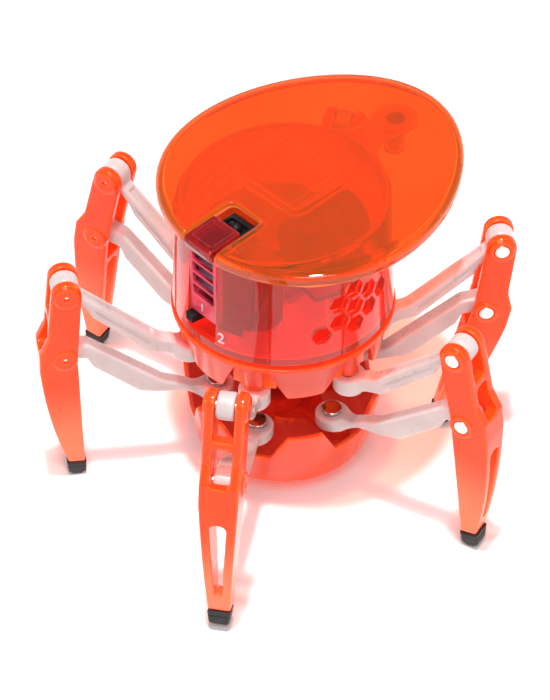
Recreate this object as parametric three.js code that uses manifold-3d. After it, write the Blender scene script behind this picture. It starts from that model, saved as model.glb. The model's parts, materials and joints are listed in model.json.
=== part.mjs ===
// Six-legged walking toy robot: a round chassis with six two-bar legs, a crank and two star plates
// that drive them, and a turning head under a large tilted visor disc.
// Millimetres, +Z up. The origin is the centre of the tray's flat underside and the head faces -Y.

import * as THREE from 'three';
import { mergeVertices } from 'three/addons/utils/BufferGeometryUtils.js';
import Module from 'manifold-3d';

const wasm = await Module();
wasm.setup();

// ---------------------------------------------------------------- driving dimensions

const LEG_COUNT = 6;
const GAP = 0.3; // clearance between neighbouring pieces
const FAR = 60;
const ROUND_SEGMENTS = 48; // facets round the body
const WHEEL_SEGMENTS = 16; // facets round hubs, cams and motors
const PIN_SEGMENTS = 8; // facets round pins and eyes

// Tray: a shallow bowl whose rim rises into a tab between each two legs.
const TRAY = {
  floorR: 19.8, rimR: 22.7, height: 16.1, wall: 1.2, saddleR: 21.3, saddleZ: 9, tabTop: 7.5, tabFoot: 15,
};
const FLOOR_RING = { innerR: 14, outerR: 15.2, height: 1 };
const COLUMN = { r: 1.5, top: 26.4 };

// Crank: a sleeve round the column with two opposed eccentrics, and the gear that turns it.
const CRANK = { bore: 1.8, sleeveR: 2.8, throw: 2, camR: 5, phaseDeg: 240, bottom: 4.2, top: 26.2 };
const CRANK_GEAR = { teeth: 14, tipR: 8.4, rootR: 7.2, z: 22.6, height: 2.4 };
const STAR = { thickness: 2, hubR: 7, spokeWidth: 5.4, lobeR: 14.9, lobeRadius: 3, highZ: 9.7, lowZ: 6.9 };

// Skirt: the chassis crown that hangs between the legs.
const SKIRT = { lipR: 24.5, lipZ: 38.6, lipHeight: 1.3, wall: 1.2, toothZ: 27.9, toothR: 22 };
const SKIRT_NOTCH = { topZ: 36.7, topWidth: 8.5, footWidth: 14.7 };
const DECK = { z: 37.1, thickness: 1.2, hole: 3.2 };
const HIP = {
  r: 20.9, postR: 1.2, postBottom: 24.3, headR: 2, shoulderR: 2.2, shoulderZ: 30.4,
  ribDeg: 9.5, ribBottom: 30.3,
};

// Legs: two parallel arms carry each shin.
const ARM = {
  reach: 26.6, pivotZ: 49.4, halfWidth: 1.9, eyeR: 3, ringR: 3.5, ringZ: 25.4, ringHeight: 4.3,
};
const LINK = { drop: 17.8, eyeOffset: -7.1, eyeR: 3.7, eyeZ: 12.5, eyeHeight: 3.2, outerEyeR: 2.3 };
const SHIN = { halfWidth: 4.2, footHalfWidth: 2.5, topR: 3.3, slotHalf: 2.2, footZ: -50.6, soleZ: -54.9 };
const RIVET = { shankR: 1, boreR: 1.3, headR: 1.6, headDepth: 0.7, bossR: 2.7, bossProud: 0.5 };
const CRANK_PIN = { r: 1.2, headR: 2.3, headHeight: 1, bottom: 12.1 };

// Rest angles of the legs, from the +X leg anticlockwise: swing about the hip, then lift of the shin.
const LEG_REST = [
  { swing: 16, lift: 10 },
  { swing: -10, lift: -8 },
  { swing: 0, lift: 0 },
  { swing: 18, lift: 12 },
  { swing: -2, lift: 4 },
  { swing: 6, lift: 15 },
];

// Head: a drum that turns on the skirt, under the tilted disc.
const SHELL = { bottomR: 24.2, topR: 22.3, bottomZ: 39.4, topZ: 76, wall: 1.3, floor: 1.1, floorHole: 6.2 };
const DISC = { height: 68.75, slope: 0.063, back: 9.4, halfLength: 34.1, halfWidth: 31.2, egg: -0.127 };
const DISC_SECTION = { rimWidth: 1.5, rimDrop: 3.2, floor: 1.5, edgeR: 1.1 };
const SLOT = { halfWidth: 4.6, innerY: -10.4, cornerR: 1.6 };
const WINDOW = { halfWidth: 4.4, bottomZ: 41.6 };
const LENS = { halfWidth: 4.1, frontY: -25.1, backY: -15.8, bottomZ: 63.8, noseR: 2, dip: 0.15, lean: 1.2 };
const SENSOR = { halfWidth: 3.4, frontY: -15.5, backY: -10.7, bottomZ: 60.4, sink: 2, eyeR: 1.3 };
const GRILLE = {
  halfWidth: 4.1, bottomZ: 46.1, firstZ: 50.3, topZ: 63.3, ribs: 4, bar: 0.7,
  frontY: -22.9, thickness: 1.7, backing: 0.7,
};
const KNOB = { angleDeg: 262.5, z: 44.6, size: 2.2, innerR: 20.6, outerR: 24.6 };
const SWITCH = { fromX: -4.1, toX: 2.6, frontY: -20.2, backY: -17, below: 2, above: 1.8 };
const VENT = { acrossFlats: 4, columnDeg: 10, firstDeg: -23, rowPitch: 2.36, firstZ: 46.6 };
const VENT_ROWS = [[0], [1, 3], [0, 2, 4], [1, 3], [2]]; // half-pitch rows of each column
const POST = { y: 33, r: 2.5, height: 8.5, holeR: 1.1, holeTop: 3 };
const LID = { r: 22.2, thickness: 0.8, tongueHalf: 3.8, postR: 4.8 };
const STEERING = {
  hubR: 5.6, tipR: 5.8, rootR: 4.8, teeth: 12, bottomZ: 38.6, gearZ: 41.2, topZ: 43.4, bore: 2,
};
const BOARD = { r: 19, z: 52.2, thickness: 1.2, frontY: -7, backY: 15.5 };
const CHIP = { halfWidth: 3.5, frontY: -5.5, backY: 0, height: 1.3 };
const CELL = { r: 5.8, neckR: 4.75, thickness: 5.1, pitch: 5.4, count: 3, x: 9, y: 3.5, z: 59.7 };
const MOTOR = { r: 5, length: 14, flat: 4, bossR: 1.6, bossLength: 1.2, walkZ: 31.6 };
const STEER_MOTOR_PLACE = [7, -13.3, 45.4];

// ---------------------------------------------------------------- solids

const radians = THREE.MathUtils.degToRad;
const discTilt = Math.atan(DISC.slope);

/** Turns a closed three.js geometry into a solid whose faces point out. */
function solid(geometry) {
  const bare = new THREE.BufferGeometry();
  bare.setAttribute('position', geometry.getAttribute('position').clone());
  if (geometry.index) bare.setIndex(geometry.index.clone());
  const merged = mergeVertices(bare, 1e-4);
  const vertices = merged.getAttribute('position').array;
  const corner = (i) => new THREE.Vector3().fromArray(vertices, 3 * i);
  const triangles = [];
  let volume = 0;
  for (let i = 0; i < merged.index.count; i += 3) {
    const [a, b, c] = [0, 1, 2].map((k) => merged.index.getX(i + k));
    if (a === b || b === c || c === a) continue;
    triangles.push([a, b, c]);
    volume += corner(a).dot(corner(b).cross(corner(c)));
  }
  if (volume < 0) triangles.forEach((triangle) => triangle.reverse());
  const mesh = new wasm.Mesh({
    numProp: 3,
    vertProperties: new Float32Array(vertices),
    triVerts: new Uint32Array(triangles.flat()),
  });
  return new wasm.Manifold(mesh);
}

/** The solid's faces as a three.js geometry. */
function geometryOf(body) {
  const mesh = body.getMesh();
  const geometry = new THREE.BufferGeometry();
  geometry.setAttribute('position', new THREE.BufferAttribute(new Float32Array(mesh.vertProperties), 3));
  geometry.setIndex(new THREE.BufferAttribute(new Uint32Array(mesh.triVerts), 1));
  geometry.computeVertexNormals();
  return geometry;
}

const join = (...bodies) => bodies.reduce((sum, body) => sum.add(body));
const cut = (body, ...tools) => tools.reduce((rest, tool) => rest.subtract(tool), body);

/** Applies a placing function to a geometry and makes it solid. */
function placed(geometry, place = () => {}) {
  place(geometry);
  return solid(geometry);
}

/** A ring or drum round Z, from a closed profile of [radius, height] points. */
function lathe(profile, segments = ROUND_SEGMENTS, place) {
  const points = profile.map(([r, z]) => new THREE.Vector2(r, z));
  const onAxis = profile[0][0] === 0 && profile[profile.length - 1][0] === 0;
  if (!onAxis) points.push(points[0].clone());
  const geometry = new THREE.LatheGeometry(points, segments);
  geometry.rotateX(Math.PI / 2);
  geometry.rotateZ(Math.PI / segments);
  return placed(geometry, place);
}

/** A cylinder along Z between two heights. */
function drum(r, bottom, top, segments = PIN_SEGMENTS, place) {
  return lathe([[0, bottom], [r, bottom], [r, top], [0, top]], segments, place);
}

/** A cylinder along Y, centred at (x, z), between two Y values. */
function crossPin(r, x, z, fromY, toY, segments = PIN_SEGMENTS) {
  return drum(r, fromY, toY, segments, (geometry) => {
    geometry.rotateX(-Math.PI / 2);
    geometry.translate(x, 0, z);
  });
}

/** A box given by its lowest and highest corners. */
function box([x0, y0, z0], [x1, y1, z1], place) {
  const geometry = new THREE.BoxGeometry(x1 - x0, y1 - y0, z1 - z0);
  geometry.translate((x0 + x1) / 2, (y0 + y1) / 2, (z0 + z1) / 2);
  return placed(geometry, place);
}

function shapeOf(points) {
  return new THREE.Shape(points.map(([x, y]) => new THREE.Vector2(x, y)));
}

/** An outline in X and Y, extruded along Z between two heights. */
function plate(shape, bottom, top, place) {
  const geometry = new THREE.ExtrudeGeometry(shape, {
    depth: top - bottom,
    bevelEnabled: false,
    curveSegments: 4,
  });
  geometry.translate(0, 0, bottom);
  return placed(geometry, place);
}

/** An outline in X (outward) and Z (up), extruded along Y to both sides of the leg's plane. */
function sidePlate(shape, halfWidth) {
  return plate(shape, -halfWidth, halfWidth, (geometry) => geometry.rotateX(Math.PI / 2));
}

/** Stands a geometry up so that its X becomes Y, its Y becomes Z and its Z points along +X. */
const faceOutward = (geometry) => geometry.rotateX(Math.PI / 2).rotateZ(Math.PI / 2);

/** Copies of one solid at each leg angle, offset by a part of the pitch, joined. */
function aroundLegs(make, offset = 0, every = 1) {
  const copies = [];
  for (let leg = 0; leg < LEG_COUNT; leg += every) {
    const angle = ((leg + offset) * 2 * Math.PI) / LEG_COUNT;
    copies.push(make(angle));
  }
  return join(...copies);
}

/** A radial wedge that cuts a trapezoid opening through a ring wall at one angle. */
function notch(angle, footZ, footWidth, topZ, topWidth, innerR) {
  const outline = shapeOf([
    [-footWidth / 2, footZ],
    [footWidth / 2, footZ],
    [topWidth / 2, topZ],
    [-topWidth / 2, topZ],
  ]);
  return plate(outline, innerR, 40, (geometry) => faceOutward(geometry).rotateZ(angle));
}

function gearShape({ teeth, tipR, rootR }) {
  const points = [];
  for (let tooth = 0; tooth < teeth; tooth += 1) {
    const corners = [[0, rootR], [0.22, rootR], [0.36, tipR], [0.64, tipR], [0.78, rootR]];
    for (const [part, r] of corners) {
      const angle = ((tooth + part) * 2 * Math.PI) / teeth;
      points.push([r * Math.cos(angle), r * Math.sin(angle)]);
    }
  }
  return shapeOf(points);
}

// ---------------------------------------------------------------- chassis

function baseTray() {
  const { floorR, rimR, height, wall, saddleR, saddleZ, tabTop, tabFoot } = TRAY;
  const bowl = lathe([
    [0, 0],
    [floorR, 0],
    [rimR, height],
    [rimR - wall, height],
    [floorR - wall, wall],
    [0, wall],
  ]);
  const pitchAt = (r) => (2 * Math.PI * r) / LEG_COUNT;
  const saddles = aroundLegs((angle) =>
    notch(angle, saddleZ, pitchAt(saddleR) - tabFoot, height + 0.01, pitchAt(rimR) - tabTop, 16));
  const bearing = drum(CRANK.sleeveR + 0.6, wall - 0.1, CRANK.bottom - GAP, WHEEL_SEGMENTS);
  const column = drum(COLUMN.r, wall - 0.1, COLUMN.top);
  const { innerR, outerR, height: ringHeight } = FLOOR_RING;
  const ringTop = wall + ringHeight;
  const ringFoot = wall - 0.1;
  const floorRing = lathe([[innerR, ringFoot], [outerR, ringFoot], [outerR, ringTop], [innerR, ringTop]]);
  return join(cut(bowl, saddles), bearing, column, floorRing);
}

function chassisSkirt() {
  const { lipR, lipZ, lipHeight, wall, toothZ, toothR } = SKIRT;
  const crown = lathe([
    [DECK.hole, DECK.z],
    [lipR - wall - 1, DECK.z],
    [toothR - wall, toothZ],
    [toothR, toothZ],
    [lipR - 0.7, lipZ - lipHeight],
    [lipR, lipZ - lipHeight],
    [lipR, lipZ],
    [lipR - wall, lipZ],
    [lipR - wall, DECK.z + DECK.thickness],
    [DECK.hole, DECK.z + DECK.thickness],
  ]);
  const { topZ, topWidth, footWidth } = SKIRT_NOTCH;
  const notches = aroundLegs((angle) =>
    notch(angle, toothZ - 0.01, footWidth, topZ, topWidth, toothR - 4));
  const posts = aroundLegs((angle) => hipPost(angle));
  const ribs = aroundLegs((angle) => hipRibs(angle));
  return join(cut(crown, notches), posts, ribs);
}

/** The post that an upper arm swings on, spread at its lower end to keep the arm's ring on. */
function hipPost(angle) {
  const place = (geometry) => {
    geometry.translate(HIP.r, 0, 0);
    geometry.rotateZ(angle);
  };
  const { postR, postBottom, headR, shoulderR, shoulderZ } = HIP;
  const headTop = ARM.ringZ - GAP;
  const top = DECK.z + 0.1;
  const head = [[0, postBottom], [headR, postBottom], [headR, headTop]];
  const shank = [[postR, headTop], [postR, shoulderZ]];
  const shoulder = [[shoulderR, shoulderZ], [shoulderR, top], [0, top]];
  return lathe([...head, ...shank, ...shoulder], PIN_SEGMENTS, place);
}

/** Two ribs over each ring, which keep the arm from tipping. */
function hipRibs(angle) {
  const low = [HIP.r - 1.3, -1.4, HIP.ribBottom];
  const high = [HIP.r + 0.3, 1.4, DECK.z + 0.1];
  const side = (sign) => box(low, high, (geometry) => geometry.rotateZ(angle + sign * radians(HIP.ribDeg)));
  return join(side(1), side(-1));
}

// ---------------------------------------------------------------- drive

function crankShaft() {
  const { bore, sleeveR, throw: offset, camR, bottom, top } = CRANK;
  const sleeve = drum(sleeveR, bottom, top, WHEEL_SEGMENTS);
  const cam = (z, sign) => drum(camR, z, z + STAR.thickness, WHEEL_SEGMENTS, (geometry) =>
    geometry.translate(sign * offset, 0, 0));
  const gear = plate(gearShape(CRANK_GEAR), CRANK_GEAR.z, CRANK_GEAR.z + CRANK_GEAR.height);
  const body = join(sleeve, cam(STAR.highZ, 1), cam(STAR.lowZ, -1), gear);
  return cut(body, drum(bore, bottom - 1, top + 1, WHEEL_SEGMENTS));
}

/** A ring that a cam pushes round, with a spoke and a lobe towards every second leg. */
function starPlate(z, firstLeg, padTop) {
  const { thickness, hubR, spokeWidth, lobeR, lobeRadius } = STAR;
  const hub = drum(hubR, z, z + thickness, WHEEL_SEGMENTS);
  const spokes = aroundLegs((angle) => {
    const turn = angle + (firstLeg * 2 * Math.PI) / LEG_COUNT;
    const place = (geometry) => geometry.rotateZ(turn);
    const spoke = box([0, -spokeWidth / 2, z], [lobeR, spokeWidth / 2, z + thickness], place);
    const lobePlace = (geometry) => geometry.translate(lobeR, 0, 0).rotateZ(turn);
    const lobe = drum(lobeRadius, z, padTop, PIN_SEGMENTS, lobePlace);
    return join(spoke, lobe);
  }, 0, 2);
  return cut(join(hub, spokes), drum(CRANK.camR + GAP, z - 1, z + thickness + 1, WHEEL_SEGMENTS));
}

/** A flat-sided motor can along Y with its bearing boss on the far end. */
function motor() {
  const { r, length, flat, bossR, bossLength } = MOTOR;
  const can = crossPin(r, 0, 0, 0, length, WHEEL_SEGMENTS);
  const slab = box([-r, -1, -flat], [r, length + 1, flat]);
  const boss = crossPin(bossR, 0, 0, length - 0.1, length + bossLength);
  return join(can.intersect(slab), boss);
}

// ---------------------------------------------------------------- legs

/** A beam's side outline as [distance from the hip, height] points, top edge first. */
function beam(points, halfWidth = ARM.halfWidth) {
  return sidePlate(shapeOf(points), halfWidth);
}

function upperArm() {
  const { reach, pivotZ, halfWidth, eyeR, ringR, ringZ, ringHeight } = ARM;
  const ringTop = ringZ + ringHeight;
  const ring = drum(ringR, ringZ, ringTop, WHEEL_SEGMENTS);
  const outline = [
    [1.6, ringTop - 0.2],
    [4.2, ringTop + 1.6],
    [6.6, ringTop + 2.2],
    [23.6, 47.6],
    [reach - 2, pivotZ + 2.2],
    [reach, pivotZ],
    [reach - 1.2, pivotZ - 2.7],
    [22.4, 43.2],
    [21.2, 40.6],
    [9, 28.6],
    [5.4, 27.7],
    [1.6, ringZ + 0.2],
  ];
  const eye = crossPin(eyeR, reach, pivotZ, -halfWidth, halfWidth);
  const hipBore = drum(HIP.postR + GAP, ringZ - 1, ringTop + 1);
  const pinBore = crossPin(RIVET.boreR, reach, pivotZ, -halfWidth - 1, halfWidth + 1);
  return cut(join(ring, beam(outline), eye), hipBore, pinBore);
}

function lowerArm() {
  const { drop, eyeOffset, eyeR, eyeZ, eyeHeight, outerEyeR } = LINK;
  const { reach, pivotZ, halfWidth } = ARM;
  const pivot = pivotZ - drop;
  const eyeTop = eyeZ + eyeHeight;
  const toInnerEye = (geometry) => geometry.translate(eyeOffset, 0, 0);
  const innerEye = drum(eyeR, eyeZ, eyeTop, WHEEL_SEGMENTS, toInnerEye);
  const outline = [
    [eyeOffset + 2, eyeTop - 0.2],
    [-1.6, eyeTop + 0.6],
    [1.2, eyeTop + 2.1],
    [5, eyeTop + 3.6],
    [21.2, pivot + 1.2],
    [reach - 1, pivot + 2.1],
    [reach, pivot],
    [reach - 0.8, pivot - 2],
    [21.6, pivot - 2.6],
    [20.4, pivot - 5.4],
    [10.6, eyeTop + 1.6],
    [6.4, eyeTop + 0.6],
    [0.4, eyeTop - 0.3],
    [-2.2, eyeZ + 1.2],
    [eyeOffset + 2, eyeZ + 0.2],
  ];
  const outerEye = crossPin(outerEyeR, reach, pivot, -halfWidth, halfWidth);
  const crankBore = drum(CRANK_PIN.r + GAP, eyeZ - 1, eyeTop + 1, PIN_SEGMENTS, toInnerEye);
  const pinBore = crossPin(RIVET.boreR, reach, pivot, -halfWidth - 1, halfWidth + 1);
  return cut(join(innerEye, beam(outline), outerEye), crankBore, pinBore);
}

function crankPin() {
  const top = LINK.eyeZ + LINK.eyeHeight + GAP;
  const { r, headR, headHeight, bottom } = CRANK_PIN;
  const head = top + headHeight;
  const profile = [[0, bottom], [r, bottom], [r, top], [headR, top], [headR, head], [0, head]];
  return lathe(profile, PIN_SEGMENTS, (geometry) => geometry.translate(LINK.eyeOffset, 0, 0));
}

/** The shin, with its upper pivot at the origin, +X outward. */
function shin() {
  const { halfWidth, footHalfWidth, topR, slotHalf, footZ } = SHIN;
  const side = new THREE.Shape();
  side.absarc(0, 0, topR, 0, Math.PI, false);
  side.lineTo(-3, -10);
  side.lineTo(-2.7, -18);
  side.lineTo(-5.2, footZ);
  side.lineTo(-1.5, footZ);
  side.quadraticCurveTo(3.4, -38, 5.4, -22);
  side.lineTo(5.6, -16.6);
  side.lineTo(3.9, -12.2);
  side.lineTo(topR, 0);
  const front = shapeOf([
    [-halfWidth, topR + 1],
    [-halfWidth, -21],
    [-footHalfWidth, footZ - 1],
    [footHalfWidth, footZ - 1],
    [halfWidth, -21],
    [halfWidth, topR + 1],
  ]);
  const blank = sidePlate(side, halfWidth).intersect(plate(front, -10, 10, faceOutward));
  const pivots = [0, -LINK.drop];
  const outerFace = halfWidth + RIVET.bossProud;
  const bosses = pivots.map((z) => crossPin(RIVET.bossR, 0, z, -outerFace, outerFace, 12));
  const bores = pivots.map((z) => crossPin(RIVET.boreR, 0, z, -10, 10));
  const sinks = pivots.map((z) =>
    crossPin(RIVET.headR + GAP, 0, z, -outerFace - 1, -outerFace + RIVET.headDepth + GAP));
  const rearSlot = box([-10, -slotHalf, -24.4], [0.5, slotHalf, topR + 1]);
  const topSlot = box([0, -slotHalf, -6.8], [10, slotHalf, topR + 1]);
  const midWindow = box([0, -slotHalf, -16.8], [10, slotHalf, -8.4]);
  const eyeRoom = box([0, -slotHalf, -20.6], [2.9, slotHalf, -16]);
  const slotOutline = shapeOf([[-1.9, -26], [-0.8, -46.4], [0.8, -46.4], [1.9, -26]]);
  const lowSlot = plate(slotOutline, -10, 10, faceOutward);
  return cut(join(blank, ...bosses), rearSlot, topSlot, midWindow, eyeRoom, lowSlot, ...bores, ...sinks);
}

function rivet(z) {
  const outerFace = SHIN.halfWidth + RIVET.bossProud;
  const head = crossPin(RIVET.headR, 0, z, -outerFace, -outerFace + RIVET.headDepth);
  const shank = crossPin(RIVET.shankR, 0, z, -outerFace + 0.1, outerFace - 0.6);
  return join(head, shank);
}

/** The soft shoe on a shin's end, narrowing to a rounded sole. */
function footTip() {
  const { footZ, soleZ } = SHIN;
  const top = footZ - GAP;
  const sole = [[-1.6, soleZ + 0.8], [-2.6, soleZ], [-4.4, soleZ], [-5.6, soleZ + 1]];
  const side = shapeOf([[-5.5, top], [-1.1, top], ...sole]);
  return sidePlate(side, SHIN.footHalfWidth + 0.1);
}

// ---------------------------------------------------------------- head

const discPlaneAt = (y) => DISC.height + DISC.slope * y;

/** Tilts a geometry that was made flat at the origin into the disc's plane. */
const ontoDisc = (geometry) => geometry.rotateX(discTilt).translate(0, 0, DISC.height);

/** The space above a plane that lies some depth under the disc's top. */
function aboveDisc(depth) {
  return box([-FAR, -FAR, -depth], [FAR, FAR, FAR], ontoDisc);
}

/** The visor's outline: an ellipse that is wider towards the front. */
function discOutline(inset) {
  const { back, halfLength, halfWidth, egg } = DISC;
  const count = 48;
  const points = [];
  for (let i = 0; i < count; i += 1) {
    const t = (i * 2 * Math.PI) / count;
    const x = (halfWidth - inset) * Math.sin(t) * (1 + egg * Math.cos(t));
    points.push([x, back + (halfLength - inset) * Math.cos(t)]);
  }
  return shapeOf(points.reverse());
}

/** The slot for the lens, open at the front and round-cornered at its inner end. */
function slotOutline() {
  const { halfWidth, innerY, cornerR } = SLOT;
  const slot = new THREE.Shape();
  slot.moveTo(-halfWidth, -FAR);
  slot.lineTo(halfWidth, -FAR);
  slot.lineTo(halfWidth, innerY - cornerR);
  slot.absarc(halfWidth - cornerR, innerY - cornerR, cornerR, 0, Math.PI / 2, false);
  slot.absarc(-halfWidth + cornerR, innerY - cornerR, cornerR, Math.PI / 2, Math.PI, false);
  slot.lineTo(-halfWidth, -FAR);
  return slot;
}

/** A flat-topped dish turned upside down: its rounded edge hangs below the floor. */
function headDisc() {
  const { rimWidth, rimDrop, floor, edgeR } = DISC_SECTION;
  const rounded = new THREE.ExtrudeGeometry(discOutline(0), {
    depth: 2 * rimDrop,
    bevelThickness: edgeR,
    bevelSize: edgeR,
    bevelOffset: -edgeR,
    bevelSegments: 3,
  });
  rounded.translate(0, 0, -2 * rimDrop - edgeR);
  const blank = solid(rounded).intersect(box([-FAR, -FAR, -rimDrop], [FAR, FAR, 1]));
  const hollow = plate(discOutline(rimWidth), -rimDrop - 1, -floor);
  return cut(blank, hollow, plate(slotOutline(), -10, 10));
}

/** A six-sided hole through the drum wall, with a flat side on top. */
function ventHole(angleDeg, z) {
  const r = VENT.acrossFlats / Math.sqrt(3);
  const corners = [];
  for (let i = 0; i < 6; i += 1) {
    const turn = ((i + 0.5) * Math.PI) / 3;
    corners.push([r * Math.cos(turn), r * Math.sin(turn)]);
  }
  return plate(shapeOf(corners), 18, 30, (geometry) => {
    geometry.rotateY(Math.PI / 2);
    geometry.translate(0, 0, z);
    geometry.rotateZ(radians(angleDeg));
  });
}

function bodyShell() {
  const { bottomR, topR, bottomZ, topZ, wall, floor, floorHole } = SHELL;
  const drumWall = lathe([
    [floorHole, bottomZ],
    [bottomR, bottomZ],
    [topR, topZ],
    [topR - wall, topZ],
    [bottomR - wall, bottomZ + floor],
    [floorHole, bottomZ + floor],
  ]);
  const underLid = aboveDisc(DISC_SECTION.floor + LID.thickness + 2 * GAP);
  const window = box([-WINDOW.halfWidth, -30, WINDOW.bottomZ], [WINDOW.halfWidth, -15, topZ + 1]);
  const vents = [];
  VENT_ROWS.forEach((rows, column) => {
    for (const row of rows) {
      const angle = VENT.firstDeg + VENT.columnDeg * column;
      const z = VENT.firstZ + VENT.rowPitch * row;
      vents.push(ventHole(angle, z), ventHole(180 - angle, z));
    }
  });
  return cut(drumWall, underLid, window, ...vents);
}

/** The dark red block in the slot: its top is level with the disc, its front edge is rounded. */
function eyeLens() {
  const { halfWidth, frontY, backY, bottomZ, noseR, dip, lean } = LENS;
  const front = discPlaneAt(frontY);
  const side = new THREE.Shape();
  side.moveTo(backY, bottomZ);
  side.lineTo(backY, discPlaneAt(backY));
  side.lineTo(frontY + noseR, front + dip);
  side.quadraticCurveTo(frontY, front, frontY, front - noseR);
  side.lineTo(frontY + lean, bottomZ);
  return plate(side, -halfWidth, halfWidth, faceOutward);
}

/** The sensor block behind the lens, sunk a little below the disc's top. */
function irModule() {
  const { halfWidth, frontY, backY, bottomZ, sink, eyeR } = SENSOR;
  const top = discPlaneAt(frontY) - sink;
  const body = box([-halfWidth, frontY, bottomZ], [halfWidth, backY, top]);
  const eye = drum(eyeR, top - 1, top + 0.6, PIN_SEGMENTS, (geometry) =>
    geometry.translate(0, (frontY + backY) / 2, 0));
  return join(body, eye);
}

/** The window's insert: a plate with a ladder of openings over a closed back. */
function windowGrille() {
  const { halfWidth, bottomZ, firstZ, topZ, ribs, bar, thickness, backing, frontY } = GRILLE;
  const backY = frontY + thickness;
  const blank = box([-halfWidth, frontY, bottomZ], [halfWidth, backY, topZ]);
  const pitch = (topZ - firstZ - bar) / ribs;
  const openings = [];
  for (let i = 0; i < ribs; i += 1) {
    const z = firstZ + bar + i * pitch;
    openings.push(box([bar - halfWidth, frontY - 1, z], [halfWidth - bar, backY + 1, z + pitch - bar]));
  }
  const sheet = box([-halfWidth, backY - 0.1, bottomZ], [halfWidth, backY + backing, topZ]);
  return join(cut(blank, ...openings), sheet);
}

function switchKnob() {
  const { angleDeg, z, size, innerR, outerR } = KNOB;
  return box([innerR, -size / 2, z - size / 2], [outerR, size / 2, z + size / 2], (geometry) => {
    geometry.rotateZ(radians(angleDeg));
  });
}

function switchBody() {
  const { fromX, toX, frontY, backY, below, above } = SWITCH;
  return box([fromX, frontY, KNOB.z - below], [toX, backY, KNOB.z + above]);
}

function steeringGear() {
  const { hubR, bottomZ, gearZ, topZ, bore } = STEERING;
  const hub = drum(hubR, bottomZ, gearZ, WHEEL_SEGMENTS);
  const gear = plate(gearShape(STEERING), gearZ - 0.1, topZ);
  return cut(join(hub, gear), drum(bore, bottomZ - 1, topZ + 1));
}

function circuitBoard() {
  const { r, z, thickness, frontY, backY } = BOARD;
  const round = drum(r, z, z + thickness, ROUND_SEGMENTS);
  const clip = box([-r - 1, frontY, z - 1], [r + 1, backY, z + thickness + 3]);
  const top = z + thickness;
  const { halfWidth, frontY: chipFront, backY: chipBack, height } = CHIP;
  const chip = box([-halfWidth, chipFront, top - 0.1], [halfWidth, chipBack, top + height]);
  return join(round.intersect(clip), chip);
}

/** Button cells in a row along Y, joined by their contact faces. */
function batteryCells() {
  const { r, neckR, thickness, pitch, count, x, y, z } = CELL;
  const cells = [];
  const start = (-count * pitch) / 2;
  for (let i = 0; i < count; i += 1) {
    const from = start + i * pitch;
    const neck = i === 0 ? from : from - pitch + thickness - 0.1;
    cells.push(drum(r, from, from + thickness, WHEEL_SEGMENTS));
    cells.push(drum(neckR, neck, from + 0.1, WHEEL_SEGMENTS));
  }
  const stack = join(...cells);
  return stack.rotate([-90, 0, 0]).translate([x, y, z]);
}

/** The drum's lid just under the disc, with a tongue that carries the rear post. */
function drumLid() {
  const { y, r, height, holeR, holeTop } = POST;
  const top = -DISC_SECTION.floor - GAP;
  const low = top - LID.thickness;
  const round = drum(LID.r, low, top, ROUND_SEGMENTS, ontoDisc);
  const tongue = box([-LID.tongueHalf, 0, low], [LID.tongueHalf, y, top], ontoDisc);
  const end = drum(LID.postR, low, top, WHEEL_SEGMENTS, (geometry) =>
    ontoDisc(geometry.translate(0, y, 0)));
  const plateTop = discPlaneAt(y - r) + top;
  const post = drum(r, plateTop - height, plateTop - 0.2, WHEEL_SEGMENTS);
  const screwHole = drum(holeR, plateTop - height - 1, plateTop - holeTop);
  const peg = cut(post, screwHole).translate([0, y, 0]);
  return join(cut(join(round, tongue, end), plate(slotOutline(), -10, 10, ontoDisc)), peg);
}

// ---------------------------------------------------------------- materials

const PALETTE = {
  core: { color: 0xb0201c, roughness: 0.35, metalness: 0, transparent: true, opacity: 0.85 },
  coral: { color: 0xff5a42, roughness: 0.3, metalness: 0, transparent: true, opacity: 0.75 },
  orange: { color: 0xff5a14, roughness: 0.25, metalness: 0, transparent: true, opacity: 0.7 },
  shin: { color: 0xff5319, roughness: 0.28, metalness: 0, transparent: true, opacity: 0.85 },
  pearl: { color: 0xdcccc6, roughness: 0.35, metalness: 0 },
  rubber: { color: 0x16130f, roughness: 0.7, metalness: 0 },
  steel: { color: 0xc9c9c9, roughness: 0.3, metalness: 1 },
  rivet: { color: 0xf0efec, roughness: 0.35, metalness: 0.6 },
  crimson: { color: 0xb01030, roughness: 0.2, metalness: 0, transparent: true, opacity: 0.8 },
  black: { color: 0x18171a, roughness: 0.5, metalness: 0 },
  board: { color: 0x5a4a1e, roughness: 0.6, metalness: 0 },
  brass: { color: 0xb9903c, roughness: 0.35, metalness: 1 },
};

const root = new THREE.Group();

/** Adds one sub-part, with a material of its own, to a group. */
function piece(name, body, finish, parent = root) {
  const mesh = new THREE.Mesh(geometryOf(body), new THREE.MeshStandardMaterial(PALETTE[finish]));
  mesh.name = name;
  parent.add(mesh);
  return mesh;
}

function group(parent, [x, y, z] = [0, 0, 0], turnZ = 0, turnY = 0) {
  const node = new THREE.Group();
  node.position.set(x, y, z);
  node.rotation.set(0, turnY, turnZ, 'ZYX');
  parent.add(node);
  return node;
}

// ---------------------------------------------------------------- assembly

piece('base_tray', baseTray(), 'coral');
piece('chassis_skirt', chassisSkirt(), 'coral');
piece('steering_gear', steeringGear(), 'pearl');

piece('walk_motor', motor(), 'steel', group(root, [0, -MOTOR.length / 2, MOTOR.walkZ]));

const phase = radians(CRANK.phaseDeg);
const crank = group(root, [0, 0, 0], phase);
piece('crank_shaft', crankShaft(), 'core', crank);
const camPlace = (sign) => [sign * CRANK.throw * Math.cos(phase), sign * CRANK.throw * Math.sin(phase), 0];
const highTop = STAR.highZ + STAR.thickness;
piece('star_plate_a', starPlate(STAR.highZ, 1, highTop), 'core', group(root, camPlace(1)));
piece('star_plate_b', starPlate(STAR.lowZ, 0, highTop), 'core', group(root, camPlace(-1)));

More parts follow.
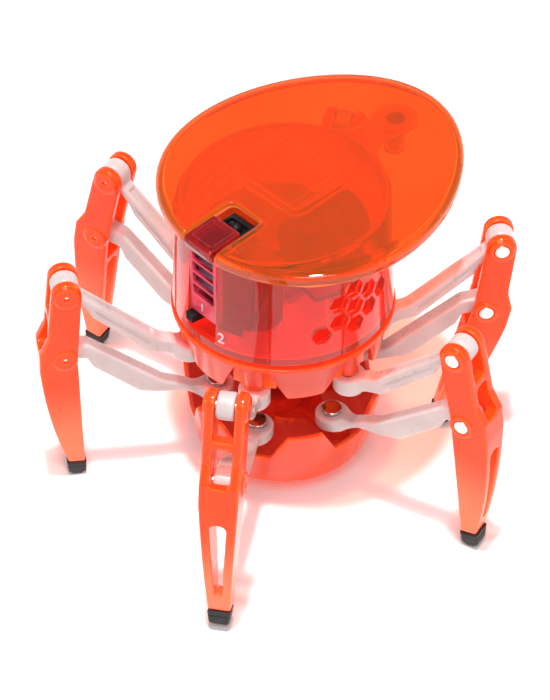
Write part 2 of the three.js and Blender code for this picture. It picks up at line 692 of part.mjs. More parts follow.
const shapes = {
  upperArm: upperArm(),
  lowerArm: lowerArm(),
  crankPin: crankPin(),
  shin: shin(),
  footTip: footTip(),
  upperRivet: rivet(0),
  lowerRivet: rivet(-LINK.drop),
};

LEG_REST.forEach(({ swing, lift }, index) => {
  const number = index + 1;
  const hipAngle = (index * 2 * Math.PI) / LEG_COUNT;
  const pitch = radians(lift);
  const hip = [HIP.r * Math.cos(hipAngle), HIP.r * Math.sin(hipAngle), 0];
  const swung = group(root, hip, hipAngle + radians(swing));
  piece(`upper_arm_${number}`, shapes.upperArm, 'pearl', swung);
  const lowered = group(swung, [LINK.drop * Math.sin(pitch), 0, LINK.drop * (1 - Math.cos(pitch))]);
  piece(`lower_arm_${number}`, shapes.lowerArm, 'pearl', lowered);
  piece(`crank_pin_${number}`, shapes.crankPin, 'steel', lowered);
  const lifted = group(swung, [ARM.reach, 0, ARM.pivotZ], 0, -pitch);
  piece(`shin_${number}`, shapes.shin, 'shin', lifted);
  piece(`foot_tip_${number}`, shapes.footTip, 'rubber', lifted);
  piece(`upper_rivet_${number}`, shapes.upperRivet, 'rivet', lifted);
  piece(`lower_rivet_${number}`, shapes.lowerRivet, 'rivet', lifted);
});

piece('body_shell', bodyShell(), 'coral');
const discMount = group(root, [0, 0, DISC.height]);
discMount.rotation.set(discTilt, 0, 0);
piece('head_disc', headDisc(), 'orange', discMount);
piece('eye_lens', eyeLens(), 'crimson');
piece('ir_module', irModule(), 'black');
piece('window_grille', windowGrille(), 'black');
piece('switch_knob', switchKnob(), 'black');
piece('switch_body', switchBody(), 'black');
piece('circuit_board', circuitBoard(), 'board');
piece('battery_cells', batteryCells(), 'brass');
piece('drum_lid', drumLid(), 'coral');

const uprightMotor = group(root, STEER_MOTOR_PLACE);
uprightMotor.rotateX(Math.PI / 2);
piece('steer_motor', motor(), 'steel', uprightMotor);

export default root;
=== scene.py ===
"""Looks for the hexapod spider robot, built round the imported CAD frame.

The script works in millimetres while it makes a shape and stores the mesh in metres. The frame's joints
place each leg's arm, link and shin.
"""
import json
import math
from types import SimpleNamespace as Sizes

import bmesh
import bpy
import numpy as np
from mathutils import Matrix, Vector


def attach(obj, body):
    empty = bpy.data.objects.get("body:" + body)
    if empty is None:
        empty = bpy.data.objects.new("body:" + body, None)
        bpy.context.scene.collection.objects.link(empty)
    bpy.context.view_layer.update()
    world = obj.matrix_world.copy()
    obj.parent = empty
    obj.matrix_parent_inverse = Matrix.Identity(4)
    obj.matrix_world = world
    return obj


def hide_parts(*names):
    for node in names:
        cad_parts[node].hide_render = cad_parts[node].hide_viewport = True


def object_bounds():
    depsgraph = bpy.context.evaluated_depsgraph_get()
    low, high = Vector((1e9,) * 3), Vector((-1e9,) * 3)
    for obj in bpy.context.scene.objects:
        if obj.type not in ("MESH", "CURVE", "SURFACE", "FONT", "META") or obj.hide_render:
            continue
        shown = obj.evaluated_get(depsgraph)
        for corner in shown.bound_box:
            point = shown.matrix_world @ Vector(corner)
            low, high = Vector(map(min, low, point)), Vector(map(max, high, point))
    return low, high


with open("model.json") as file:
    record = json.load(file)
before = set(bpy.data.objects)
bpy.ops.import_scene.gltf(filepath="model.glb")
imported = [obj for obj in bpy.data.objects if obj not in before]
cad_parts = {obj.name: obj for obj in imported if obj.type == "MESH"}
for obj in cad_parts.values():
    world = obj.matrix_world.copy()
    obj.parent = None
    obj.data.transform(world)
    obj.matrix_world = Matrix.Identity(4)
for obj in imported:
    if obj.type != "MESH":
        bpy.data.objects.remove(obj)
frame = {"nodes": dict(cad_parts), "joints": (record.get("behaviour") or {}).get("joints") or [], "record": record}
cad_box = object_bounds()

MM = 0.001
LEGS = 6
JOINTS = {joint["name"]: joint for joint in frame["joints"]}

# ---- driving sizes, millimetres

TRAY = Sizes(floor_r=19.8, rim_r=22.7, height=16.1, wall=1.2, saddle=9.0, tab_top=7.5, tab_foot=15.0,
             bend=5.0, hole_r=4.4, ring_in=14.0, ring_out=15.2, ring_top=2.2, sunk=1.0, rib_half=0.3)
SKIRT = Sizes(lip_r=24.5, lip_top=38.6, lip_bottom=37.3, tooth_z=27.9, tooth_r=22.0, wall=1.2, notch_top=36.7,
              tooth_top=8.3, tooth_foot=16.5, tooth_at=22.6, deck_z=37.1, deck_top=38.3, hole_r=3.2)
HIP = Sizes(r=20.9, post_r=1.2, post_bottom=24.3, head_r=2.0, head_top=25.1, shoulder_r=2.2, shoulder_z=30.4,
            rib_deg=9.5, rib_bottom=30.3, rib_half=1.4)
ARM = Sizes(reach=26.6, pivot_z=49.4, half=1.9, eye_r=3.0, ring_r=3.5, ring_z=25.4, ring_height=4.3)
LINK = Sizes(drop=17.8, eye_x=-7.1, eye_r=3.7, eye_z=12.5, eye_height=3.2, outer_r=2.3)
SHIN = Sizes(half=4.2, foot_half=2.5, top_r=3.3, slot=2.2, foot_z=-50.6, sole_z=-54.9)
RIVET = Sizes(shank_r=1.0, bore_r=1.3, head_r=1.6, head_depth=0.7, boss_r=2.7, proud=0.5)
SHELL = Sizes(bottom_r=24.2, top_r=22.3, bottom=39.4, top=76.0, wall=1.3, floor=1.1, hole_r=6.2)
DISC = Sizes(height=68.75, slope=0.063, back=9.4, length=34.1, width=31.2, egg=-0.127, rim=1.5, drop=3.2,
             floor=1.5)
SLOT = Sizes(half=4.6, inner=-10.4, corner=1.6)
WINDOW = Sizes(half=4.4, bottom=41.6)
LENS = Sizes(half=4.1, front=-25.1, back=-15.8, bottom=63.8, hollow=65.8)
SENSOR = Sizes(half=3.4, front=-15.5, back=-10.7, bottom=60.4, sink=2.0, eye_r=1.3)
GRILLE = Sizes(half=4.1, bottom=46.1, first=50.3, top=63.3, ribs=4, bar=0.6, front=22.9, depth=2.4, plate=0.7)
KNOB = Sizes(deg=262.5, z=44.6, size=2.2, inner=20.6, outer=24.6, ridge=0.12)
VENT = Sizes(flats=4.0, column_deg=10.0, first_deg=-23.0, pitch=2.36, first_z=46.6)
VENT_ROWS = ((0,), (1, 3), (0, 2, 4), (1, 3), (2,))
POST = Sizes(y=33.0, r=2.5, height=8.5, plug_r=2.05, plug=0.6)
WIRE_R = 0.7
WIRE_BEND = 2.0
WIRES = {
    "wire_a": ((13.4, -15.4, 60.0), (13.0, -16.0, 56.0), (11.2, -17.2, 50.0), (10.6, -17.4, 46.4),
               (8.0, -14.0, 43.6)),
    "wire_b": ((11.8, -14.4, 61.0), (12.0, -15.6, 55.0), (11.6, -16.6, 49.0), (9.4, -12.0, 44.0)),
}
# Where the visor's painted highlight runs, along its fold and the battery door's double outline, and how strong it
# is.
LINES = Sizes(fold=0.948, fold_width=0.0035, low=(-14.0, -5.2), high=(6.6, 11.4), corner=2.6, step=1.6,
              width=0.11, strength=0.6)
COVER = Sizes(deg=289.0, inner=19.9, outer=20.9, half=3.6, low=43.6, high=63.6)
LID = Sizes(r=22.2, depth=1.8, thickness=0.8, bridge=3.8, post_r=4.8, low=(-15.2, -4.2), high=(8.2, 13.6),
            mouth=(5.2, -9.6))
FLOOR_HALF = 3000.0
GAP = 0.3


# ---- outlines

def arc(start, corner, end, steps=5):
    """Points along the bend from start to end that leans towards the corner."""
    shares = [k / steps for k in range(steps + 1)]
    return [start.lerp(corner, t).lerp(corner.lerp(end, t), t) for t in shares]


def rect(low, high):
    return [(low[0], low[1]), (high[0], low[1]), (high[0], high[1]), (low[0], high[1])]


def fillet(points, radius, steps=5, closed=True):
    """The polygon with each corner turned into an arc of at most this radius."""
    radii = radius if isinstance(radius, (list, tuple)) else [radius] * len(points)
    rounded = []
    for i, corner in enumerate(points):
        if not closed and i in (0, len(points) - 1):
            rounded.append(tuple(corner))
            continue
        here = Vector(corner)
        before = Vector(points[i - 1]) - here
        after = Vector(points[(i + 1) % len(points)]) - here
        turn = before.angle(after)
        if radii[i] <= 0 or turn > math.pi - 0.02:
            rounded.append(tuple(corner))
            continue
        reach = min(radii[i] / math.tan(turn / 2), 0.49 * before.length, 0.49 * after.length)
        bend = arc(here + before.normalized() * reach, here, here + after.normalized() * reach, steps)
        rounded += [tuple(point) for point in bend]
    return rounded


def turns(count):
    return [2 * math.pi * i / count for i in range(count)]


# ---- meshes

def linked(name, data):
    obj = bpy.data.objects.new(name, data)
    bpy.context.scene.collection.objects.link(obj)
    return obj


def moved(obj, x=0.0, y=0.0, z=0.0):
    """Shifts the object's mesh; millimetres."""
    obj.data.transform(Matrix.Translation((x * MM, y * MM, z * MM)))
    return obj


def turn_z(degrees):
    return Matrix.Rotation(math.radians(degrees), 4, "Z")


def make_object(name, vertices, faces, smooth=True):
    """An object whose mesh is given in millimetres, with its faces pointing out."""
    mesh = bpy.data.meshes.new(name)
    mesh.from_pydata([tuple(MM * c for c in v) for v in vertices], [], faces)
    mesh.validate()
    work = bmesh.new()
    work.from_mesh(mesh)
    bmesh.ops.remove_doubles(work, verts=work.verts, dist=1e-7)
    bmesh.ops.recalc_face_normals(work, faces=work.faces)
    work.to_mesh(mesh)
    work.free()
    if smooth:
        mesh.shade_smooth()
    return linked(name, mesh)


def smooth_by_angle(obj, degrees=32):
    """Keeps edges sharper than the angle crisp in the shading."""
    work = bmesh.new()
    work.from_mesh(obj.data)
    limit = math.radians(degrees)
    for edge in work.edges:
        edge.smooth = len(edge.link_faces) == 2 and edge.calc_face_angle(0) < limit
    for face in work.faces:
        face.smooth = True
    work.to_mesh(obj.data)
    work.free()
    return obj


def sweep(profile_at, count):
    """The (radius, height) points of each turn's profile, set round Z."""
    return [(r * math.cos(turn), r * math.sin(turn), z) for turn in turns(count) for r, z in profile_at(turn)]


def revolve(name, profile_at, count=240):
    """A closed ring round Z. profile_at(angle) gives the loop of (radius, height) points at that angle."""
    faces = []
    size = len(profile_at(0.0))
    for i in range(count):
        here, there = i * size, ((i + 1) % count) * size
        for k in range(size):
            after = (k + 1) % size
            faces.append((here + k, there + k, there + after, here + after))
    return make_object(name, sweep(profile_at, count), faces)


def turned(name, profile, count=48):
    """A solid of revolution whose profile starts and ends on the axis."""
    faces = []
    inner = profile[1:-1]
    vertices = sweep(lambda turn: inner, count)
    low, high = len(vertices), len(vertices) + 1
    vertices += [(0, 0, profile[0][1]), (0, 0, profile[-1][1])]
    size = len(inner)
    for i in range(count):
        here, there = i * size, ((i + 1) % count) * size
        for k in range(size - 1):
            faces.append((here + k, there + k, there + k + 1, here + k + 1))
        faces.append((low, there, here))
        faces.append((high, here + size - 1, there + size - 1))
    return make_object(name, vertices, faces)


def prism(name, outline, low, high, matrix=Matrix.Identity(4)):
    """An outline in X and Y, extruded along Z, then placed by the matrix."""
    count = len(outline)
    vertices = [matrix @ Vector((x, y, z)) for z in (low, high) for x, y in outline]
    faces = [tuple(range(count - 1, -1, -1)), tuple(range(count, 2 * count))]
    for i in range(count):
        after = (i + 1) % count
        faces.append((i, after, count + after, count + i))
    return make_object(name, vertices, faces, smooth=False)


def boxed(name, low, high, matrix=Matrix.Identity(4)):
    return prism(name, rect(low, high), low[2], high[2], matrix)


def baked(obj):
    """The object's shape as a new mesh, with its modifiers applied."""
    return bpy.data.meshes.new_from_object(obj.evaluated_get(bpy.context.evaluated_depsgraph_get()))


def applied(obj):
    mesh = baked(obj)
    obj.modifiers.clear()
    obj.data = mesh
    return obj


def combine(obj, tools, operation):
    """Joins or cuts the object with the tools, which are used up."""
    for tool in tools:
        modifier = obj.modifiers.new("combine", "BOOLEAN")
        modifier.operation = operation
        modifier.solver = "MANIFOLD"
        modifier.object = tool
        applied(obj)
        bpy.data.objects.remove(tool)
    return obj


def bevelled(obj, width, segments=3, degrees=35):
    """Rounds the object's sharp edges; width in millimetres."""
    modifier = obj.modifiers.new("bevel", "BEVEL")
    modifier.width = width * MM
    modifier.segments = segments
    modifier.limit_method = "ANGLE"
    modifier.angle_limit = math.radians(degrees)
    return smooth_by_angle(applied(obj), 40)


# ---- moulded shapes from distance fields

def polygon_distance(points, x, y):
    """Signed distance from each (x, y) to a polygon, below zero inside."""
    best = np.full(np.broadcast(x, y).shape, np.inf)
    inside = np.zeros(best.shape, bool)
    for i, (bx, by) in enumerate(points):
        ax, ay = points[i - 1]
        ex, ey = bx - ax, by - ay
        px, py = x - ax, y - ay
        along = np.clip((px * ex + py * ey) / (ex * ex + ey * ey), 0, 1)
        best = np.minimum(best, (px - ex * along) ** 2 + (py - ey * along) ** 2)
        crosses = ((ay > y) != (by > y)) & (x < ax + ex * (y - ay) / (ey if ey else 1e-9))
        inside ^= crosses
    return np.where(inside, -1, 1) * np.sqrt(best)


def slab(flat, across, edge):
    """A plate with this flat distance and this distance across its thickness, its edges rounded."""
    a, b = flat + edge, across + edge
    return np.minimum(np.maximum(a, b), 0) + np.hypot(np.maximum(a, 0), np.maximum(b, 0)) - edge


def layer(z, low, height):
    """Distance to a flat layer that starts at this height, below zero inside."""
    return np.abs(z - low - height / 2) - height / 2


def join(a, b, blend):
    """Union with a fillet of about this size."""
    h = np.maximum(blend - np.abs(a - b), 0) / blend
    return np.minimum(a, b) - h * h * blend / 4


def carve(a, b, blend=0.3):
    """a without b, with the edge eased."""
    return -join(-a, b, blend)


def rounded_box(x, y, low, high, corner):
    """Flat distance to a rectangle with round corners."""
    cx, cy = (low[0] + high[0]) / 2, (low[1] + high[1]) / 2
    return slab(np.abs(x - cx) - (high[0] - low[0]) / 2, np.abs(y - cy) - (high[1] - low[1]) / 2, corner)


def neighbours(axis, rest):
    """The two index tuples that pair each cell with the next one along an axis."""
    first, second = [rest] * 3, [rest] * 3
    first[axis], second[axis] = slice(0, -1), slice(1, None)
    return tuple(first), tuple(second)


def moulded(name, low, high, cell, field):
    """The zero surface of field(x, y, z) inside a box, as a closed mesh of even quads."""
    axes = [np.arange(a - 2 * cell, b + 3 * cell, cell) for a, b in zip(low, high)]
    x, y, z = axes[0][:, None, None], axes[1][None, :, None], axes[2][None, None, :]
    value = np.broadcast_to(field(x, y, z), (len(axes[0]), len(axes[1]), len(axes[2]))).astype(float)
    value = np.where(value == 0, 1e-9, value)
    inside = value < 0
    shape = tuple(n - 1 for n in value.shape)
    total = np.zeros(shape + (3,))
    hits = np.zeros(shape)
    origin = np.array([a[0] for a in axes])
    for axis in range(3):
        first, second = (value[index] for index in neighbours(axis, slice(None)))
        crossing = (first < 0) != (second < 0)
        with np.errstate(divide="ignore", invalid="ignore"):
            part = np.where(crossing, first / (first - second), 0.0)
        others = [a for a in range(3) if a != axis]
        for da in (0, 1):
            for db in (0, 1):
                window = [slice(None)] * 3
                window[others[0]] = slice(da, da + shape[others[0]])
                window[others[1]] = slice(db, db + shape[others[1]])
                found = crossing[tuple(window)]
                hits += found
                total[..., axis] += np.where(found, part[tuple(window)], 0)
                total[..., others[0]] += found * da
                total[..., others[1]] += found * db
    used = hits > 0
    number = np.full(shape, -1)
    number[used] = np.arange(used.sum())
    corner = np.argwhere(used)
    points = origin + cell * (corner + total[used] / hits[used][:, None])
    faces = []
    for axis in range(3):
        a, b = [k for k in range(3) if k != axis]
        first, second = neighbours(axis, slice(1, -1))
        where = np.argwhere(inside[first] != inside[second])
        base = where + np.array([0 if k == axis else 1 for k in range(3)])
        ring = []
        for da, db in ((-1, -1), (0, -1), (0, 0), (-1, 0)):
            at = base.copy()
            at[:, a] += da
            at[:, b] += db
            ring.append(number[at[:, 0], at[:, 1], at[:, 2]])
        faces.append(np.stack(ring, 1))
    return make_object(name, points.tolist(), np.concatenate(faces).tolist())


# ---- materials

def plug(tree, node, sockets):
    """Fills a node's inputs: each gets another node's output, or a plain number, vector or colour."""
    for name, value in sockets.items():
        if isinstance(value, bpy.types.NodeSocket):
            tree.links.new(value, node.inputs[name])
        else:
            node.inputs[name].default_value = value


def add(tree, kind, sockets, **settings):
    """A new node; returns its outputs."""
    node = tree.nodes.new("ShaderNode" + kind)
    for name, value in settings.items():
        setattr(node, name, value)
    plug(tree, node, sockets)
    return node.outputs


def shader(name):
    material = bpy.data.materials.new(name)
    material.use_nodes = True
    tree = material.node_tree
    return material, tree, tree.nodes["Principled BSDF"]


def own_space(tree):
    """Coordinates in the piece's own space, in metres."""
    return add(tree, "TexCoord", {})["Object"]


def noise(tree, scale, detail=3.0, rough=0.55, stretch=(1, 1, 1)):
    """Noise in the object's own space; scale is in patterns per metre."""
    where = add(tree, "Mapping", {"Vector": own_space(tree), "Scale": stretch})["Vector"]
    sockets = {"Vector": where, "Scale": scale, "Detail": detail, "Roughness": rough}
    return add(tree, "TexNoise", sockets)["Fac"]


def ramp(tree, factor, low, high, start=0.3, end=0.7):
    """A colour between low and high as the factor goes from start to end."""
    node = tree.nodes.new("ShaderNodeValToRGB")
    for stop, position, colour in zip(node.color_ramp.elements, (start, end), (low, high)):
        stop.position = position
        stop.color = (*colour, 1)
    tree.links.new(factor, node.inputs["Fac"])
    return node.outputs["Color"]


def spread(tree, factor, low, high):
    """A number between low and high as the factor goes from 0 to 1."""
    return add(tree, "MapRange", {"Value": factor, "To Min": low, "To Max": high})["Result"]


def bump(tree, height, strength, distance):
    return add(tree, "Bump", {"Height": height, "Strength": strength, "Distance": distance})["Normal"]


def maths(tree, operation, first, second=None):
    """One arithmetic step between sockets or numbers."""
    values = {0: first} if second is None else {0: first, 1: second}
    return add(tree, "Math", values, operation=operation)["Value"]


def split(tree, vector):
    return add(tree, "SeparateXYZ", {"Vector": vector})


def mixed(tree, factor, first, second):
    """The first colour, turning into the second (a plain colour) as the factor goes from 0 to 1."""
    sockets = {"Factor": factor, "A": first, "B": (*second, 1)}
    return add(tree, "Mix", sockets, data_type="RGBA")["Result"]


def painted_edge_highlight(tree, colour, edge_highlight, start, end):
    """The colour with a painted highlight on its convex edges, where dyed clear plastic gathers light."""
    point = add(tree, "NewGeometry", {})["Pointiness"]
    shade = add(tree, "MapRange", {"Value": point, "From Min": start, "From Max": end})["Result"]
    return mixed(tree, shade, colour, edge_highlight)


def height_blend(tree, colour, other, start, end):
    """The colour, turning into the other one between two heights (metres) in the piece's own space."""
    sockets = {"Value": split(tree, own_space(tree))["Z"], "From Min": start, "From Max": end}
    shade = add(tree, "MapRange", sockets, interpolation_type="SMOOTHSTEP")["Result"]
    return mixed(tree, shade, colour, other)


def hollow_shade_mask(tree, floor_top, inward=-0.006, level=0.3):
    """Where painted shade goes in a hollow: 1 on faces that look towards the turning axis and on the floor below a
    height (metres), else 0.
    """
    where = split(tree, own_space(tree))
    facing = split(tree, add(tree, "NewGeometry", {})["Normal"])
    outward = maths(tree, "ADD", maths(tree, "MULTIPLY", where["X"], facing["X"]),
                    maths(tree, "MULTIPLY", where["Y"], facing["Y"]))
    wall = maths(tree, "LESS_THAN", outward, inward)
    upward = maths(tree, "GREATER_THAN", facing["Z"], level)
    low = maths(tree, "LESS_THAN", where["Z"], floor_top)
    return maths(tree, "MAXIMUM", wall, maths(tree, "MULTIPLY", upward, low))


def pass_light(tree, principled, shadow):
    """Lets lamp light through the surface, tinted, so that the piece casts a coloured shadow."""
    through = add(tree, "BsdfTransparent", {"Color": (*shadow, 1)})["BSDF"]
    in_shadow = add(tree, "LightPath", {})["Is Shadow Ray"]
    mix = add(tree, "MixShader", {"Fac": in_shadow, 1: principled.outputs["BSDF"], 2: through})["Shader"]
    tree.links.new(mix, tree.nodes["Material Output"].inputs["Surface"])


def thin_line(tree, distance, at, half_width):
    """1 where the distance is within half a width of a value, else 0."""
    off = maths(tree, "ABSOLUTE", maths(tree, "SUBTRACT", distance, at))
    return maths(tree, "LESS_THAN", off, half_width)


def length_of(tree, x, y):
    squares = [maths(tree, "MULTIPLY", side, side) for side in (x, y)]
    return maths(tree, "SQRT", maths(tree, "ADD", *squares))


def fold_line(tree, where):
    """A line inside the visor's edge that follows its egg outline."""
    y = maths(tree, "DIVIDE", maths(tree, "SUBTRACT", where["Y"], DISC.back * MM), DISC.length * MM)
    egg = maths(tree, "ADD", maths(tree, "MULTIPLY", y, DISC.egg), 1.0)
    x = maths(tree, "DIVIDE", where["X"], maths(tree, "MULTIPLY", egg, DISC.width * MM))
    return thin_line(tree, length_of(tree, x, y), LINES.fold, LINES.fold_width)


def door_line(tree, where):
    """The round-cornered double outline of the battery door."""
    reach = []
    for axis, low, high in zip("XY", LINES.low, LINES.high):
        off = maths(tree, "ABSOLUTE", maths(tree, "SUBTRACT", where[axis], (low + high) / 2 * MM))
        over = maths(tree, "SUBTRACT", off, ((high - low) / 2 - LINES.corner) * MM)
        reach.append(maths(tree, "MAXIMUM", over, 0.0))
    distance = length_of(tree, *reach)
    outer = thin_line(tree, distance, LINES.corner * MM, LINES.width * MM)
    inner = thin_line(tree, distance, (LINES.corner - LINES.step) * MM, LINES.width * MM)
    return maths(tree, "MAXIMUM", outer, inner)


# Painted highlight: the visor takes a lighter colour along its fold and over the battery door's outline.
def painted_line_highlights(tree):
    where = split(tree, own_space(tree))
    either = maths(tree, "MAXIMUM", fold_line(tree, where), door_line(tree, where))
    return maths(tree, "MULTIPLY", either, LINES.strength)


def clear_plastic(name, deep, pale, edge_highlight, clarity, roughness, shadow, painted_glow=0.0, level=0.3,
                  edges=(0.51, 0.6), inside=None, tip=None, own=None, line_highlight=None):
    """Dyed translucent plastic. Light from lamps passes through it, tinted by the shadow colour.

    inside is (colour, floor top) for painted shade in a hollow, tip is (colour, start, end) for a paler end,
    own is a painted light that the surface gives off though it is no lamp, and the visor's line colour is a
    painted highlight.
    """
    material, tree, principled = shader(name)
    colour = ramp(tree, noise(tree, 60.0, 2.0), deep, pale)
    if tip:
        colour = height_blend(tree, colour, *tip)
    # Painted highlight: convex edges take a lighter colour.
    colour = painted_edge_highlight(tree, colour, edge_highlight, *edges)
    # Painted shade: the hollow's inward faces and floor take a darker colour.
    if inside:
        colour = mixed(tree, hollow_shade_mask(tree, inside[1]), colour, inside[0])
    # Painted highlight along the visor's fold and the battery door's outline.
    if line_highlight:
        colour = mixed(tree, painted_line_highlights(tree), colour, line_highlight)
    plug(tree, principled, {
        "Base Color": colour,
        "Roughness": spread(tree, noise(tree, 900.0, 4.0), roughness * 0.75, roughness * 1.3),
        "Normal": bump(tree, noise(tree, 420.0, 3.0), 0.04, 0.0004),
        "IOR": 1.45,
        "Specular IOR Level": level,
        "Transmission Weight": clarity,
        "Coat Weight": 0.1,
        "Coat Roughness": 0.05,
    })
    # Painted light: the surface gives off light, a fixed colour or its own colour scaled, though it is no lamp.
    if own:
        plug(tree, principled, {"Emission Color": (*own, 1), "Emission Strength": 1.0})
    elif painted_glow:
        plug(tree, principled, {"Emission Color": colour, "Emission Strength": painted_glow})
    pass_light(tree, principled, shadow)
    return material


def milky_plastic(name, deep, pale, roughness, shadow):
    """Pearly, light-scattering plastic."""
    material, tree, principled = shader(name)
    plug(tree, principled, {
        "Base Color": ramp(tree, noise(tree, 90.0, 2.0), deep, pale),
        "Roughness": spread(tree, noise(tree, 500.0, 2.0), roughness * 0.85, roughness * 1.2),
        "Normal": bump(tree, noise(tree, 300.0, 2.0), 0.04, 0.0003),
        "Subsurface Weight": 0.5,
        "Subsurface Radius": (0.003, 0.002, 0.0018),
        "Subsurface Scale": 1.0,
        "Coat Weight": 0.25,
        "Coat Roughness": 0.12,
    })
    pass_light(tree, principled, shadow)
    return material


def metal(name, deep, pale, roughness, brushed=(1, 1, 1)):
    material, tree, principled = shader(name)
    grain = noise(tree, 1500.0, 5.0, 0.6, brushed)
    plug(tree, principled, {
        "Base Color": ramp(tree, grain, deep, pale),
        "Roughness": spread(tree, grain, roughness * 0.7, roughness * 1.5),
        "Normal": bump(tree, grain, 0.12, 0.0001),
        "Metallic": 1.0,
    })
    return material


def dull(name, deep, pale, roughness, grain_scale=1600.0, depth=0.25, level=0.5):
    """Opaque moulded plastic or rubber with a fine grain."""
    material, tree, principled = shader(name)
    grain = noise(tree, grain_scale, 5.0, 0.65)
    plug(tree, principled, {
        "Base Color": ramp(tree, noise(tree, 300.0, 4.0), deep, pale),
        "Roughness": spread(tree, grain, roughness * 0.8, min(1.0, roughness * 1.25)),
        "Normal": bump(tree, grain, depth, 0.0002),
        "Specular IOR Level": level,
    })
    return material


# Painted light in these materials: each clear plastic's third colour is a painted highlight on its convex edges,
# and any emission is painted light given off though the part is no lamp.
MATERIALS = {
    "coral_plastic": clear_plastic("coral", (0.6, 0.052, 0.022), (0.68, 0.064, 0.03), (1.0, 0.12, 0.01),
                                   0.35, 0.18, (0.94, 0.36, 0.32), painted_glow=0.22, level=0.25, edges=(0.503, 0.55),
                                   # painted shade: a darker red on faces that look inward and on the floor
                                   inside=((0.5, 0.045, 0.025), 0.0035)),
    "core_plastic": clear_plastic("core", (0.32, 0.012, 0.008), (0.42, 0.02, 0.012), (0.6, 0.03, 0.01),
                                  0.2, 0.3, (0.9, 0.3, 0.3), painted_glow=0.1, level=0.2),
    "shell_plastic": clear_plastic("shell", (0.78, 0.042, 0.028), (0.88, 0.055, 0.04), (1.0, 0.14, 0.03),
                                   0.93, 0.05, (0.88, 0.5, 0.46), level=0.4, own=(0.05, 0.01, 0.006)),
    "disc_plastic": clear_plastic("disc", (0.7, 0.028, 0.001), (0.78, 0.034, 0.002), (1.0, 0.2, 0.03),
                                  0.97, 0.02, (0.82, 0.42, 0.3), level=0.12, edges=(0.515, 0.58),
                                  # painted light: a fixed emission, and a painted highlight along the visor's fold
                                  # and door outline
                                  own=(0.09, 0.046, 0.002), line_highlight=(1.0, 0.3, 0.06)),
    "shin_plastic": clear_plastic("shin", (0.78, 0.065, 0.007), (0.88, 0.08, 0.012), (1.0, 0.22, 0.015),
                                  0.35, 0.16, (0.9, 0.5, 0.45), painted_glow=0.14, level=0.16,
                                  tip=((1.0, 0.22, 0.1), 0.0254, 0.0054)),
    "lens_plastic": clear_plastic("lens", (0.3, 0.006, 0.008), (0.42, 0.01, 0.014), (0.95, 0.12, 0.2),
                                  0.8, 0.04, (0.8, 0.3, 0.35), painted_glow=0.08, level=0.4),
    "lid": clear_plastic("lid", (0.8, 0.25, 0.08), (0.88, 0.3, 0.12), (1.0, 0.8, 0.5),
                         0.9, 0.03, (0.85, 0.5, 0.4), painted_glow=0.07, level=0.4, edges=(0.502, 0.53)),
    "grille": clear_plastic("grille", (0.12, 0.004, 0.01), (0.2, 0.008, 0.02), (0.8, 0.08, 0.14),
                            0.3, 0.15, (0.5, 0.2, 0.25), painted_glow=0.05, level=0.4),
    "arm_plastic": milky_plastic("arm", (0.5, 0.42, 0.41), (0.6, 0.53, 0.52), 0.28, (0.8, 0.62, 0.62)),
    "pearl_plastic": milky_plastic("pearl", (0.5, 0.4, 0.38), (0.62, 0.52, 0.5), 0.35, (0.8, 0.6, 0.6)),
    "foot_rubber": dull("rubber", (0.006, 0.005, 0.005), (0.016, 0.014, 0.012), 0.55, 1300.0, 0.35),
    "black_plastic": dull("black", (0.004, 0.003, 0.004), (0.01, 0.009, 0.011), 0.4, level=0.25),
    "board": dull("board", (0.1, 0.07, 0.008), (0.18, 0.12, 0.02), 0.5, 900.0),
    "slate": dull("slate", (0.06, 0.032, 0.07), (0.1, 0.055, 0.12), 0.4),
    "umber": dull("umber", (0.035, 0.014, 0.006), (0.075, 0.03, 0.012), 0.35),
    "rivet_steel": metal("rivet", (0.78, 0.77, 0.75), (0.93, 0.92, 0.9), 0.28),
    "pin_steel": metal("pin", (0.45, 0.42, 0.4), (0.6, 0.57, 0.55), 0.1),
    "cell_steel": metal("cell", (0.12, 0.09, 0.02), (0.2, 0.15, 0.05), 0.4, (12, 1, 12)),
    "motor_steel": metal("motor", (0.16, 0.11, 0.06), (0.3, 0.22, 0.14), 0.42, (12, 12, 1)),
}


def finish_piece(obj, slot, body, *nodes, material=None):
    """Gives a piece its material and body, and hides the CAD nodes that it stands for."""
    obj.data.materials.clear()
    obj.data.materials.append(material or MATERIALS[slot])
    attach(obj, body)
    if nodes:
        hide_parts(*nodes)
    return obj


# ---- chassis

def tab_wave(turn, foot, top, radius, corner=0.09):
    """From 0 between tabs to 1 on a tab's flat top; tabs stand midway between the legs."""
    pitch = 2 * math.pi / LEGS
    from_tab = abs(turn % pitch - pitch / 2) * radius
    t = (foot / 2 - from_tab) / (foot / 2 - top / 2)
    ease = corner
    if t <= -ease:
        return 0.0
    if t >= 1 + ease:
        return 1.0
    if t < ease:
        return (t + ease) ** 2 / (4 * ease)
    if t > 1 - ease:
        return 1 - (1 + ease - t) ** 2 / (4 * ease)
    return t


